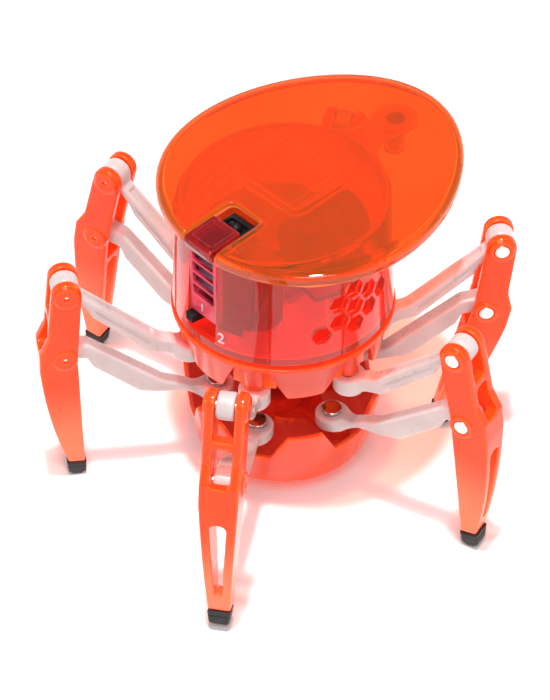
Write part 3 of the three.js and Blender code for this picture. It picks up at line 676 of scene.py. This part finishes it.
def make_tray():
    s = TRAY
    middle = (s.floor_r + s.rim_r) / 2

    def profile(turn):
        rise = tab_wave(turn, s.tab_foot, s.tab_top, middle)
        top = s.saddle + (s.height - s.saddle) * rise
        lean = (s.rim_r - s.floor_r) / s.height
        outer = lambda z: s.floor_r + lean * z
        loop = [
            (s.hole_r, 0.0),
            (12.0, 0.0),
            (s.floor_r, 0.0),
            (outer(s.bend), s.bend),
            (outer(top), top),
            (outer(top) - s.wall, top),
            (outer(s.bend) - s.wall, s.bend),
            (s.floor_r - s.wall, s.wall),
            (12.0, s.wall),
            (8.0, s.wall),
            (s.hole_r, s.wall),
        ]
        return fillet(loop, [0, 0, 0.9, 0, 0.45, 0.45, 0, 1.6, 0, 0, 0], 4)

    tray = revolve("tray", profile, 288)
    foot = turned("tray_boss", fillet([(0, 0.0), (4.6, 0.0), (4.6, 1.2), (3.4, 1.3), (3.4, 3.9), (1.5, 3.9),
                                       (1.5, 26.4), (0, 26.4)], 0.2, 3, closed=False), 48)
    band = fillet(rect((s.ring_in, s.sunk), (s.ring_out, s.ring_top)), 0.2, 3)
    ring = revolve("tray_ring", lambda turn: band, 96)
    ribs = [boxed("tray_rib", (3.2, -s.rib_half, s.sunk), (s.ring_in + 0.3, s.rib_half, 1.9),
                  turn_z(360 * (leg + 0.5) / LEGS)) for leg in range(LEGS)]
    return combine(tray, [foot, ring] + ribs, "UNION")


def make_skirt():
    s = SKIRT

    def profile(turn):
        drop = tab_wave(turn, s.tooth_foot, s.tooth_top, s.tooth_at)
        bottom = s.notch_top + (s.tooth_z - s.notch_top) * drop
        lean = (s.lip_r - 0.7 - s.tooth_r) / (s.lip_bottom - s.tooth_z)
        outer = lambda z: s.tooth_r + lean * (z - s.tooth_z)
        loop = [
            (s.hole_r, s.deck_z),
            (outer(s.deck_z) - s.wall, s.deck_z),
            (outer(bottom) - s.wall, bottom),
            (outer(bottom), bottom),
            (outer(s.lip_bottom), s.lip_bottom),
            (s.lip_r, s.lip_bottom + 0.1),
            (s.lip_r, s.lip_top),
            (s.lip_r - s.wall, s.lip_top),
            (s.lip_r - s.wall, s.deck_top),
            (s.hole_r, s.deck_top),
        ]
        return fillet(loop, [0, 0.15, 0.4, 0.4, 0.25, 0.35, 0.35, 0.2, 0.1, 0], 4)

    skirt = revolve("skirt", profile, 288)
    parts = []
    top = s.deck_z + 0.4
    stem = fillet([(0, HIP.post_bottom), (HIP.head_r, HIP.post_bottom), (HIP.head_r, HIP.head_top),
                   (HIP.post_r, HIP.head_top), (HIP.post_r, HIP.shoulder_z), (HIP.shoulder_r, HIP.shoulder_z),
                   (HIP.shoulder_r, top), (0, top)], 0.25, 3, closed=False)
    rib = fillet(rect((HIP.r - 1.3, -HIP.rib_half), (HIP.r + 0.3, HIP.rib_half)), 0.35, 3)
    for leg in range(LEGS):
        turn = turn_z(360 * leg / LEGS)
        parts.append(moved(turned("post", stem, 32), *(turn @ Vector((HIP.r, 0, 0)))))
        for side in (-1, 1):
            parts.append(prism("rib", rib, HIP.rib_bottom, top, turn @ turn_z(side * HIP.rib_deg)))
    return smooth_by_angle(combine(skirt, parts, "UNION"), 40)


# ---- legs

def lower_half(z):
    """The shin's half width at each height."""
    t = np.clip((-21 - z) / (-21 - SHIN.foot_z), 0, 1)
    return SHIN.half + (SHIN.foot_half - SHIN.half) * t


def make_shin_mesh():
    s = SHIN
    top = [(s.top_r * math.cos(a), s.top_r * math.sin(a)) for a in np.linspace(0, math.pi, 17)]
    belly = arc(Vector((-1.5, s.foot_z)), Vector((3.4, -38)), Vector((5.4, -22)), 11)
    side = top + [(-3, -10), (-2.7, -18), (-5.2, s.foot_z)] + [tuple(point) for point in belly]
    side += [(5.6, -16.6), (3.9, -12.2)]
    rail = [(-1.9, -26), (-0.8, -46.4), (0.8, -46.4), (1.9, -26)]
    face = s.half + RIVET.proud

    def field(x, y, z):
        flat = polygon_distance(side, x, z)
        body = slab(flat, np.abs(y) - lower_half(z), 0.55)
        for pivot in (0, -LINK.drop):
            round_pin = np.hypot(x, z - pivot)
            body = join(body, slab(round_pin - RIVET.boss_r, np.abs(y) - face, 0.3), 0.5)
        fork = slab(rounded_box(x, z, (-12, -24.4), (0.5, 9), 0.8), np.abs(y) - s.slot, 0.3)
        front = slab(rounded_box(x, z, (-1, -6.8), (12, 9), 0.5), np.abs(y) - s.slot, 0.3)
        window = slab(rounded_box(y, z, (-s.slot, -16.8), (s.slot, -8.4), 1.3), -x - 0.2, 0.05)
        room = slab(np.hypot(x, z + LINK.drop) - 3.0, np.abs(y) - s.slot, 0.2)
        body = carve(carve(carve(carve(body, fork), front), window), room)
        rails = polygon_distance(fillet(rail, [1.7, 0.7, 0.7, 1.7], 6), y, z)
        body = carve(body, rails, 0.4)
        for pivot in (0, -LINK.drop):
            round_pin = np.hypot(x, z - pivot)
            bore = np.maximum(round_pin - RIVET.bore_r, y - s.half)
            sink = np.maximum(round_pin - RIVET.head_r - 0.2, y + face - RIVET.head_depth - 0.2)
            eye = round_pin - 0.55
            body = carve(body, np.minimum(np.minimum(bore, sink), eye), 0.12)
        return body

    low = (-5.7, -face - 0.1, s.foot_z - 0.2)
    high = (6.0, face + 0.1, s.top_r + 0.2)
    return moulded("shin", low, high, 0.25, field)


def make_foot_mesh():
    s = SHIN
    top = s.foot_z - GAP
    side = [(-5.5, top), (-1.1, top), (-1.6, s.sole_z + 0.8), (-2.6, s.sole_z), (-4.4, s.sole_z),
            (-5.6, s.sole_z + 1)]

    def field(x, y, z):
        narrow = s.foot_half + 0.1 - 0.12 * (top - z)
        body = slab(polygon_distance(side, x, z), np.abs(y) - narrow, 0.6)
        tread = np.maximum(np.abs((z - top + 1.2)) - 0.12, -body - 0.18)
        return carve(body, tread, 0.1)

    return moulded("foot", (-5.9, -2.9, s.sole_z - 0.1), (-0.8, 2.9, top + 0.1), 0.16, field)


def beam_groove(x, y, z, start, end, width, depth):
    """A channel along the line from start to end, open upward."""
    (x0, z0), (x1, z1) = start, end
    length = math.hypot(x1 - x0, z1 - z0)
    ux, uz = (x1 - x0) / length, (z1 - z0) / length
    along = (x - x0) * ux + (z - z0) * uz
    above = (z - z0) * ux - (x - x0) * uz
    ends = np.maximum(-along, along - length)
    return np.maximum(np.maximum(np.abs(y) - width / 2, -(above + depth)), ends)


def make_upper_arm_mesh():
    s = ARM
    top = s.ring_z + s.ring_height
    side = [(1.6, top - 0.2), (4.2, top + 1.6), (6.6, top + 2.2), (23.6, 47.6),
            (s.reach - 2, s.pivot_z + 2.2), (s.reach, s.pivot_z), (s.reach - 1.2, s.pivot_z - 2.7),
            (22.4, 43.2), (21.2, 40.6),
            (9, 28.6), (5.4, 27.7), (1.6, s.ring_z + 0.2)]
    side = fillet(side, [0, 2.5, 3, 1, 1, 0, 0, 2, 0.8, 2.5, 3, 0], 4)

    def field(x, y, z):
        ring = slab(np.hypot(x, y) - s.ring_r, layer(z, s.ring_z, s.ring_height), 0.5)
        beam = slab(polygon_distance(side, x, z), np.abs(y) - s.half, 0.7)
        eye = slab(np.hypot(x - s.reach, z - s.pivot_z) - s.eye_r, np.abs(y) - s.half, 0.5)
        body = join(join(beam, ring, 1.4), eye, 0.8)
        body = carve(body, beam_groove(x, y, z, (8.2, 33.4), (22.4, 46.4), 1.7, 0.55), 0.35)
        side_groove = np.maximum(polygon_distance(side, x, z) + 1.5, 1.55 - np.abs(y))
        body = carve(body, np.maximum(side_groove, np.maximum(9.0 - x, x - 20.5)), 0.3)
        body = carve(body, np.hypot(x, y) - HIP.post_r - GAP, 0.3)
        return carve(body, np.hypot(x - s.reach, z - s.pivot_z) - RIVET.bore_r, 0.2)

    low = (-s.ring_r - 0.1, -s.ring_r - 0.1, s.ring_z - 0.1)
    high = (s.reach + s.eye_r + 0.1, s.ring_r + 0.1, s.pivot_z + s.eye_r + 0.1)
    return moulded("upper_arm", low, high, 0.26, field)


def make_lower_arm_mesh():
    s = LINK
    reach, pivot = ARM.reach, ARM.pivot_z - LINK.drop
    eye_x, top = s.eye_x, s.eye_z + s.eye_height
    side = [(eye_x + 2, top - 0.2), (-1.6, top + 0.6), (1.2, top + 2.1), (5, top + 3.6), (21.2, pivot + 1.2),
            (reach - 1, pivot + 2.1), (reach, pivot), (reach - 0.8, pivot - 2), (21.6, pivot - 2.6),
            (20.4, pivot - 5.4), (10.6, top + 1.6), (6.4, top + 0.6), (0.4, top - 0.3), (-2.2, s.eye_z + 1.2),
            (eye_x + 2, s.eye_z + 0.2)]
    side = fillet(side, [0, 2, 2, 3, 2, 0.6, 0, 0, 1.2, 0.7, 2.5, 3, 2, 1.5, 0], 4)

    def field(x, y, z):
        width = ARM.half - 0.35 * np.clip((8 - x) / 10, 0, 1)
        ring = slab(np.hypot(x - eye_x, y) - s.eye_r, layer(z, s.eye_z, s.eye_height), 0.5)
        beam = slab(polygon_distance(side, x, z), np.abs(y) - width, 0.6)
        eye = slab(np.hypot(x - reach, z - pivot) - s.outer_r, np.abs(y) - ARM.half, 0.4)
        body = join(join(beam, ring, 2.2), eye, 0.8)
        body = carve(body, np.hypot(x - eye_x, y) - 1.5, 0.25)
        return carve(body, np.hypot(x - reach, z - pivot) - RIVET.bore_r, 0.2)

    low = (eye_x - s.eye_r - 0.1, -s.eye_r - 0.1, s.eye_z - 0.1)
    high = (reach + s.outer_r + 0.1, s.eye_r + 0.1, pivot + s.outer_r + 0.3)
    return moulded("lower_arm", low, high, 0.26, field)


def make_rivet_mesh():
    face = SHIN.half + RIVET.proud
    depth, r = RIVET.head_depth, RIVET.head_r
    profile = [(0, -face), (r, -face), (r, -face + depth), (RIVET.shank_r, -face + depth),
               (RIVET.shank_r, face - 0.6), (0, face - 0.6)]
    rivet = turned("rivet", fillet(profile, [0, 0.22, 0.05, 0.1, 0.2, 0], 3, closed=False), 40)
    rivet.data.transform(Matrix.Rotation(math.radians(-90), 4, "X"))
    return rivet


def make_crank_pin_mesh():
    top = LINK.eye_z + LINK.eye_height + GAP
    profile = [(0, 12.1), (1.2, 12.1), (1.2, top), (2.3, top), (2.3, top + 1.0), (0, top + 1.0)]
    return moved(turned("crank_pin", fillet(profile, [0, 0.25, 0.05, 0.12, 0.3, 0], 4, closed=False), 48),
                 LINK.eye_x)


def leg_frames(number):
    """The matrices that place this leg's arm, link and shin, from its joints."""
    hip = Vector(JOINTS["swing_%d" % number]["pos_m"])
    upper = Vector(JOINTS["lift_%d" % number]["pos_m"])
    lower = Vector(JOINTS["link_level_%d" % number]["pos_m"])
    axis = Vector(JOINTS["lift_%d" % number]["axis"])
    out = Vector((-axis.y, axis.x, 0)).normalized()
    across = Vector((-out.y, out.x, 0))
    up = Vector((0, 0, 1))
    pitch = math.atan2((lower - upper).dot(out), (upper - lower).z)

    def basis(x, y, z, at):
        turn = Matrix((x, y, z)).transposed().to_4x4()
        return Matrix.Translation(at) @ turn

    arm = basis(out, across, up, Vector((hip.x, hip.y, 0)))
    link_at = lower - out * (ARM.reach * MM) - up * ((ARM.pivot_z - LINK.drop) * MM)
    link = basis(out, across, up, link_at)
    shin_x = out * math.cos(pitch) + up * math.sin(pitch)
    shin_z = up * math.cos(pitch) - out * math.sin(pitch)
    return {"arm": arm, "link": link, "leg": basis(shin_x, across, shin_z, upper)}


def make_legs():
    """Six legs: each kind of piece is made once and placed six times."""
    kinds = {
        "upper_arm": (make_upper_arm_mesh(), "arm_plastic", "arm"),
        "lower_arm": (make_lower_arm_mesh(), "arm_plastic", "link"),
        "crank_pin": (make_crank_pin_mesh(), "pin_steel", "link"),
        "shin": (make_shin_mesh(), "shin_plastic", "leg"),
        "foot_tip": (make_foot_mesh(), "foot_rubber", "leg"),
        "upper_rivet": (make_rivet_mesh(), "rivet_steel", "leg"),
        "lower_rivet": (moved(make_rivet_mesh(), z=-LINK.drop), "rivet_steel", "leg"),
    }
    for number in range(1, LEGS + 1):
        places = leg_frames(number)
        for kind, (model, slot, part) in kinds.items():
            mesh = model.data.copy()
            mesh.transform(places[part])
            piece = linked("%s_fine_%d" % (kind, number), mesh)
            finish_piece(piece, slot, "%s_%d" % (part, number), "%s_%d" % (kind, number))
    for model, _, _ in kinds.values():
        bpy.data.objects.remove(model)


# ---- head

DISC_PLACE = Matrix.Translation((0, 0, DISC.height * MM)) @ Matrix.Rotation(math.atan(DISC.slope), 4, "X")
UPRIGHT = Matrix.Rotation(math.radians(90), 4, "X")
POST_TOP = DISC.height + DISC.slope * (POST.y - POST.r) - DISC.floor - GAP


def disc_plane(y):
    return DISC.height + DISC.slope * y


def make_disc():
    """The visor: a flat top that falls slightly to its rounded, turned-down edge, and a slot for the lens."""
    d, slot = DISC, SLOT
    outline = [(d.width * math.sin(t) * (1 + d.egg * math.cos(t)), d.back + d.length * math.cos(t))
               for t in turns(120)]

    def field(x, y, z):
        edge = polygon_distance(outline, x, y)
        fall = 0.5 * np.clip((edge + 3.0) / 3.0, 0, 1)
        body = slab(edge, z + fall, 1.0)
        body = np.maximum(body, slab(edge, -d.drop - z, 0.5))
        body = carve(body, np.maximum(edge + d.rim, z + d.floor), 0.8)
        gap = rounded_box(x, y, (-slot.half, -60), (slot.half, slot.inner), slot.corner)
        return carve(body, gap, 0.9)

    low = (-d.width * 1.03, d.back - d.length, -d.drop)
    high = (d.width * 1.03, d.back + d.length, 0.0)
    disc = moulded("visor_disc", low, high, 0.32, field)
    disc.data.transform(DISC_PLACE)
    return disc


def make_lid():
    """The drum's lid under the visor: its tongue to the rear post and the ridge round the battery door."""
    s = LID

    def field(x, y, z):
        tongue = np.maximum(np.abs(x) - s.bridge, np.abs(y - POST.y / 2) - POST.y / 2)
        flat = join(np.hypot(x, y) - s.r, tongue, 5.0)
        flat = join(flat, np.hypot(x, y - POST.y) - s.post_r, 3.0)
        flat = np.maximum(flat, -rounded_box(x, y, (-s.mouth[0], -60), s.mouth, 1.6))
        body = slab(flat, layer(z, -s.depth - s.thickness, s.thickness), 0.2)
        door = rounded_box(x, y, s.low, s.high, 2.6)
        walls = np.minimum(np.abs(door) - 0.3, np.abs(door + 1.9) - 0.3)
        ridge = slab(walls, np.abs(z + s.depth) - 0.25, 0.1)
        return join(body, ridge, 0.3)

    low = (-s.r, -s.r, -s.depth - s.thickness)
    high = (s.r, POST.y + s.post_r, -s.depth + 0.3)
    lid = moulded("lid", low, high, 0.3, field)
    lid.data.transform(DISC_PLACE)
    return combine(lid, [make_rear_post()], "UNION")


def make_shell():
    s = SHELL
    under = DISC.floor + GAP + 1.1

    def profile(turn):
        y = s.top_r * math.sin(turn)
        top = disc_plane(y) - under - 0.1
        lean = (s.top_r - s.bottom_r) / (s.top - s.bottom)
        outer = lambda z: s.bottom_r + lean * (z - s.bottom)
        inner_top = disc_plane((s.top_r - s.wall) * math.sin(turn)) - under - 0.1
        middle = (s.bottom + top) / 2
        loop = [
            (s.hole_r, s.bottom),
            (s.bottom_r, s.bottom),
            (outer(middle), middle),
            (outer(top), top),
            (outer(top) - s.wall, inner_top),
            (outer(middle) - s.wall, middle),
            (s.bottom_r - s.wall, s.bottom + s.floor),
            (s.hole_r, s.bottom + s.floor),
        ]
        return fillet(loop, [0, 0.6, 0, 0.3, 0.3, 0, 0.8, 0], 4)

    shell = revolve("shell", profile, 288)
    window = fillet(rect((-WINDOW.half, WINDOW.bottom), (WINDOW.half, 90)), [0.8, 0.8, 0, 0], 4)
    tools = [prism("window", window, 15, 30, UPRIGHT)]
    for column, rows in enumerate(VENT_ROWS):
        turn = VENT.first_deg + VENT.column_deg * column
        for row in rows:
            tools += [vent_cutter(side, VENT.first_z + VENT.pitch * row) for side in (turn, 180 - turn)]
    return smooth_by_angle(combine(shell, tools, "DIFFERENCE"), 35)


def vent_cutter(degrees, z):
    r = VENT.flats / math.sqrt(3)
    corners = [(r * math.cos(turn), r * math.sin(turn)) for turn in turns(6)]
    stand = turn_z(degrees) @ Matrix.Translation((0, 0, z))
    facing = Matrix(((0, 0, 1, 0), (1, 0, 0, 0), (0, 1, 0, 0), (0, 0, 0, 1)))
    return prism("vent", fillet(corners, 0.3, 3), 18, 30, stand @ facing)


def make_lens():
    s = LENS
    front, back = disc_plane(s.front), disc_plane(s.back)
    side = fillet([(s.back, s.bottom), (s.back, back), (s.front, front), (s.front + 1.0, s.bottom)],
                  [0.3, 0.6, 2.4, 0.5], 6)

    def field(x, y, z):
        body = slab(polygon_distance(side, y, z), np.abs(x) - s.half, 0.55)
        panel = rounded_box(x, y, (-2.9, s.front + 2.2), (2.9, s.back - 1.0), 0.6)
        recess = np.maximum(panel, disc_plane(y) - 0.45 - z)
        room = rounded_box(x, y, (-3.0, s.front + 1.8), (3.0, s.back - 0.9), 0.5)
        return carve(carve(body, recess, 0.25), np.maximum(room, z - s.hollow), 0.25)

    return moulded("lens", (-s.half - 0.1, s.front - 0.1, s.bottom - 0.1),
                   (s.half + 0.1, s.back + 0.1, back + 0.1), 0.18, field)


def make_lens_core():
    """The dark wedge and the two small studs in the hollow of the lens."""
    s = LENS
    wedge = fillet([(-1.7, s.front + 2.6), (1.9, s.back - 3.0), (1.9, s.back - 1.6), (-1.7, s.back - 1.6)],
                   0.3, 3)
    core = prism("lens_core", wedge, s.bottom + 0.2, s.hollow - 0.3)
    low, high = s.bottom + 0.2, s.hollow - 0.4
    studs = [moved(turned("stud", [(0, low), (0.4, low), (0.4, high), (0, high)], 16), 1.9, s.front + ahead)
             for ahead in (3.2, 4.8)]
    return smooth_by_angle(combine(core, studs, "UNION"), 40)


def make_ir_module():
    s = SENSOR
    top = disc_plane(s.front) - s.sink
    housing = boxed("ir_housing", (-s.half, s.front, s.bottom), (s.half, s.back, top))
    pocket = boxed("ir_pocket", (-s.half + 0.7, s.front + 0.6, top - 1.2),
                   (s.half - 0.7, s.back - 1.4, top + 1))
    housing = bevelled(combine(housing, [pocket], "DIFFERENCE"), 0.2, 2)
    foot = top - 1.4
    bulge = [(s.eye_r * math.cos(a), foot + 0.3 + 1.5 * math.sin(a))
             for a in np.linspace(0, math.pi / 2 * 0.97, 8)]
    dome = turned("ir_dome", [(0, foot)] + bulge + [(0, foot + 1.8)], 32)
    return combine(housing, [moved(dome, y=(s.front + s.back - 0.8) / 2)], "UNION")


def upright_prism(name, low, high, corner, back, front):
    """A round-cornered plate that faces -Y, from depth back to depth front."""
    return prism(name, fillet(rect(low, high), corner, 3), back, front, UPRIGHT)


def make_grille():
    """The window's insert: a ladder of openings over a deep pocket, and a plain plate below it."""
    s = GRILLE
    back = s.front - s.depth
    frame_plate = upright_prism("grille", (-s.half, s.bottom), (s.half, s.top), 0.4, back, s.front)
    side = s.half - 0.9
    pocket = upright_prism("pocket", (-side, s.first + 0.4), (side, s.top - 0.5), 0.3, back + 0.5,
                           s.front - s.plate)
    pitch = (s.top - s.first - s.bar) / s.ribs
    openings = []
    for i in range(s.ribs):
        z = s.first + s.bar + i * pitch
        openings.append(upright_prism("opening", (-side, z), (side, z + pitch - s.bar), 0.25,
                                      s.front - s.plate - 0.3, s.front + 1))
    return bevelled(combine(frame_plate, [pocket] + openings, "DIFFERENCE"), 0.1, 2)


def make_grille_back():
    """The dark sheet at the bottom of the pocket."""
    s = GRILLE
    back = s.front - s.depth
    side = s.half - 1.0
    low, high = (-side, s.first + 0.6), (side, s.top - 0.7)
    return bevelled(upright_prism("grille_back", low, high, 0.2, back + 0.52, back + 0.9), 0.1, 2)


def make_numeral(text, size):
    """A raised numeral that lies flat, facing +Z."""
    curve = bpy.data.curves.new("numeral", "FONT")
    curve.body = text
    curve.size = size * MM
    curve.align_x = "CENTER"
    curve.align_y = "CENTER"
    curve.extrude = 0.14 * MM
    curve.bevel_depth = 0.04 * MM
    label = linked("label", curve)
    mesh = baked(label)
    bpy.data.objects.remove(label)
    return linked("numeral_%s" % text, mesh)


def make_wall_numeral(text, degrees, z, size):
    """A numeral bent round the drum wall, its foot sunk a little into the wall."""
    piece = make_numeral(text, size)
    lean = (SHELL.top_r - SHELL.bottom_r) / (SHELL.top - SHELL.bottom)
    for vertex in piece.data.vertices:
        across, up, out = vertex.co
        height = z * MM + up
        r = SHELL.bottom_r * MM + lean * (height - SHELL.bottom * MM) + out
        turn = math.radians(degrees) + across / r
        vertex.co = (r * math.cos(turn), r * math.sin(turn), height)
    return piece


def make_plate_numeral(text, x, z, size):
    """A numeral on the plain plate of the window's insert."""
    piece = make_numeral(text, size)
    piece.data.transform(UPRIGHT)
    return moved(piece, x, -GRILLE.front, z)


def tube(name, points, r):
    """A bent wire through the points, with flat ends."""
    path = eased(points, WIRE_BEND)
    vertices, faces = [], []
    count = 10
    side = Vector((0, 0, 1))
    for i, here in enumerate(path):
        ahead = (path[min(i + 1, len(path) - 1)] - path[max(i - 1, 0)]).normalized()
        side = (side - ahead * side.dot(ahead)).normalized()
        other = ahead.cross(side)
        vertices += [here + (side * math.cos(turn) + other * math.sin(turn)) * r for turn in turns(count)]
    last = (len(path) - 1) * count
    for ring in range(0, last, count):
        for k in range(count):
            after = (k + 1) % count
            faces.append((ring + k, ring + after, ring + count + after, ring + count + k))
    faces += [tuple(range(count)), tuple(range(last, last + count))]
    return make_object(name, vertices, faces)


def eased(points, reach):
    """The path through the points with its bends rounded."""
    points = [Vector(p) for p in points]
    path = [points[0]]
    for before, here, after in zip(points, points[1:], points[2:]):
        ways = [end - here for end in (before, after)]
        start, end = (here + way.normalized() * min(reach, way.length / 2) for way in ways)
        path += arc(start, here, end)
    return path + [points[-1]]


def make_knob():
    s = KNOB
    turn = turn_z(s.deg)
    half = s.size / 2
    knob = boxed("knob", (s.inner, -half, s.z - half), (s.outer, half, s.z + half), turn)
    ridges = [boxed("ridge", (s.outer - 0.25, offset - s.ridge, s.z - half - 1),
                    (s.outer + 1, offset + s.ridge, s.z + half + 1), turn) for offset in (-0.55, 0.0, 0.55)]
    return bevelled(combine(knob, ridges, "DIFFERENCE"), 0.12, 2)


def make_rear_post():
    top, low = POST_TOP, POST_TOP - POST.height
    bore, seat = POST.plug_r + 0.05, top - POST.plug - 0.05
    profile = [(0, low + 5.0), (1.1, low + 5.0), (1.1, low), (POST.r - 0.2, low), (POST.r, top), (bore, top),
               (bore, seat), (0, seat)]
    profile = fillet(profile, [0, 0.1, 0.2, 0.4, 0.1, 0.05, 0.05, 0], 4, closed=False)
    return moved(turned("rear_post", profile, 48), y=POST.y)


def make_post_plug():
    """The plug in the top of the rear post."""
    low = POST_TOP - POST.plug
    profile = [(0, low), (POST.plug_r, low), (POST.plug_r, POST_TOP), (0, POST_TOP)]
    return moved(turned("post_plug", fillet(profile, [0, 0.1, 0.15, 0], 3, closed=False), 48), y=POST.y)


def make_module_cover():
    """The dark cover over the steering motor, behind the drum wall."""
    s = COVER
    turn = turn_z(s.deg)
    cover = boxed("module_cover", (s.inner, -s.half, s.low), (s.outer, s.half, s.high), turn)
    notch = boxed("cover_notch", (s.inner - 1, s.half - 2.2, s.low - 1),
                  (s.outer + 1, s.half + 1, s.low + 2.4), turn)
    slots = [boxed("cover_slot", (s.outer - 0.4, 1.2 - s.half, z), (s.outer + 1, s.half - 1.2, z + 0.5), turn)
             for z in (s.low + 5.0, s.low + 8.0, s.high - 3.0)]
    return bevelled(combine(cover, [notch] + slots, "DIFFERENCE"), 0.25, 2)


# ---- assembly

finish_piece(make_tray(), "coral_plastic", "chassis", "base_tray")
finish_piece(make_skirt(), "coral_plastic", "chassis", "chassis_skirt")
make_legs()
finish_piece(make_shell(), "shell_plastic", "head", "body_shell")
finish_piece(make_disc(), "disc_plastic", "head", "head_disc")
finish_piece(make_lens(), "lens_plastic", "head", "eye_lens")
finish_piece(make_ir_module(), "black_plastic", "head", "ir_module")
finish_piece(make_lid(), "shell_plastic", "head", "drum_lid", material=MATERIALS["lid"])
finish_piece(make_post_plug(), "board", "head")
finish_piece(make_module_cover(), "black_plastic", "head", material=MATERIALS["umber"])
finish_piece(make_lens_core(), "black_plastic", "head")
finish_piece(make_grille(), "lens_plastic", "head", "window_grille", material=MATERIALS["grille"])
finish_piece(make_grille_back(), "black_plastic", "head", material=MATERIALS["slate"])
finish_piece(make_wall_numeral("2", 284.0, 43.8, 3.6), "arm_plastic", "head")
finish_piece(make_plate_numeral("1", -0.4, 48.2, 2.8), "arm_plastic", "head")
for name, bends in WIRES.items():
    finish_piece(tube(name, bends, WIRE_R), "board", "head")
finish_piece(make_knob(), "black_plastic", "knob", "switch_knob")

for row in frame["record"]["subparts"]:
    node = frame["nodes"][row["node"]]
    if not node.hide_render:
        node.data.materials.clear()
        node.data.materials.append(MATERIALS[row["material_slot"]])

# ---- stage

floor_z = cad_box[0][2]


def make_floor():
    """A white floor under the feet."""
    half = FLOOR_HALF * MM
    mesh = bpy.data.meshes.new("floor")
    mesh.from_pydata([(x, y, 0) for x, y in rect((-half, -half), (half, half))], [], [(0, 1, 2, 3)])
    floor = linked("floor", mesh)
    floor.location.z = floor_z
    material, tree, principled = shader("floor")
    plug(tree, principled, {"Base Color": (0.93, 0.93, 0.93, 1), "Roughness": 0.6})
    mesh.materials.append(material)


def aim(obj, target):
    obj.rotation_euler = (Vector(target) - obj.location).to_track_quat("-Z", "Y").to_euler()


def area_light(name, place, size, power, target=(0, 0, 0.03)):
    lamp = bpy.data.lights.new(name, "AREA")
    lamp.shape = "DISK"
    lamp.size = size
    lamp.energy = power
    obj = linked(name, lamp)
    obj.location = place
    aim(obj, target)


# Where the photograph was taken from, in metres above the floor, and its focal length in millimetres.
CAMERA = Sizes(place=Vector((0.3091, -0.2877, 0.4213)), target=Vector((-0.0229, 0.0187, 0.0)), lens=133.66)


def make_camera():
    camera = bpy.data.cameras.new("camera")
    camera.lens = CAMERA.lens
    camera.sensor_width = 36.0
    camera.clip_start = 0.01
    camera.clip_end = 20.0
    obj = linked("camera", camera)
    obj.location = CAMERA.place + Vector((0, 0, floor_z))
    aim(obj, CAMERA.target + Vector((0, 0, floor_z)))
    bpy.context.scene.camera = obj


def make_world():
    """White studio walls that fade to a dimmer ceiling."""
    world = bpy.data.worlds.new("studio")
    bpy.context.scene.world = world
    world.use_nodes = True
    tree = world.node_tree
    height = split(tree, add(tree, "TexCoord", {})["Generated"])["Z"]
    walls, ceiling = (1.2, 1.2, 1.2), (0.32, 0.32, 0.32)
    plug(tree, tree.nodes["Background"],
         {"Color": ramp(tree, height, walls, ceiling, 0.12, 0.5), "Strength": 1.0})


make_floor()
make_camera()
make_world()
area_light("key", (0.05, -0.08, 1.1), 0.07, 12.0)
area_light("fill", (0.38, -0.36, 0.8), 0.4, 3.0)
bpy.context.scene.view_settings.view_transform = "Standard"
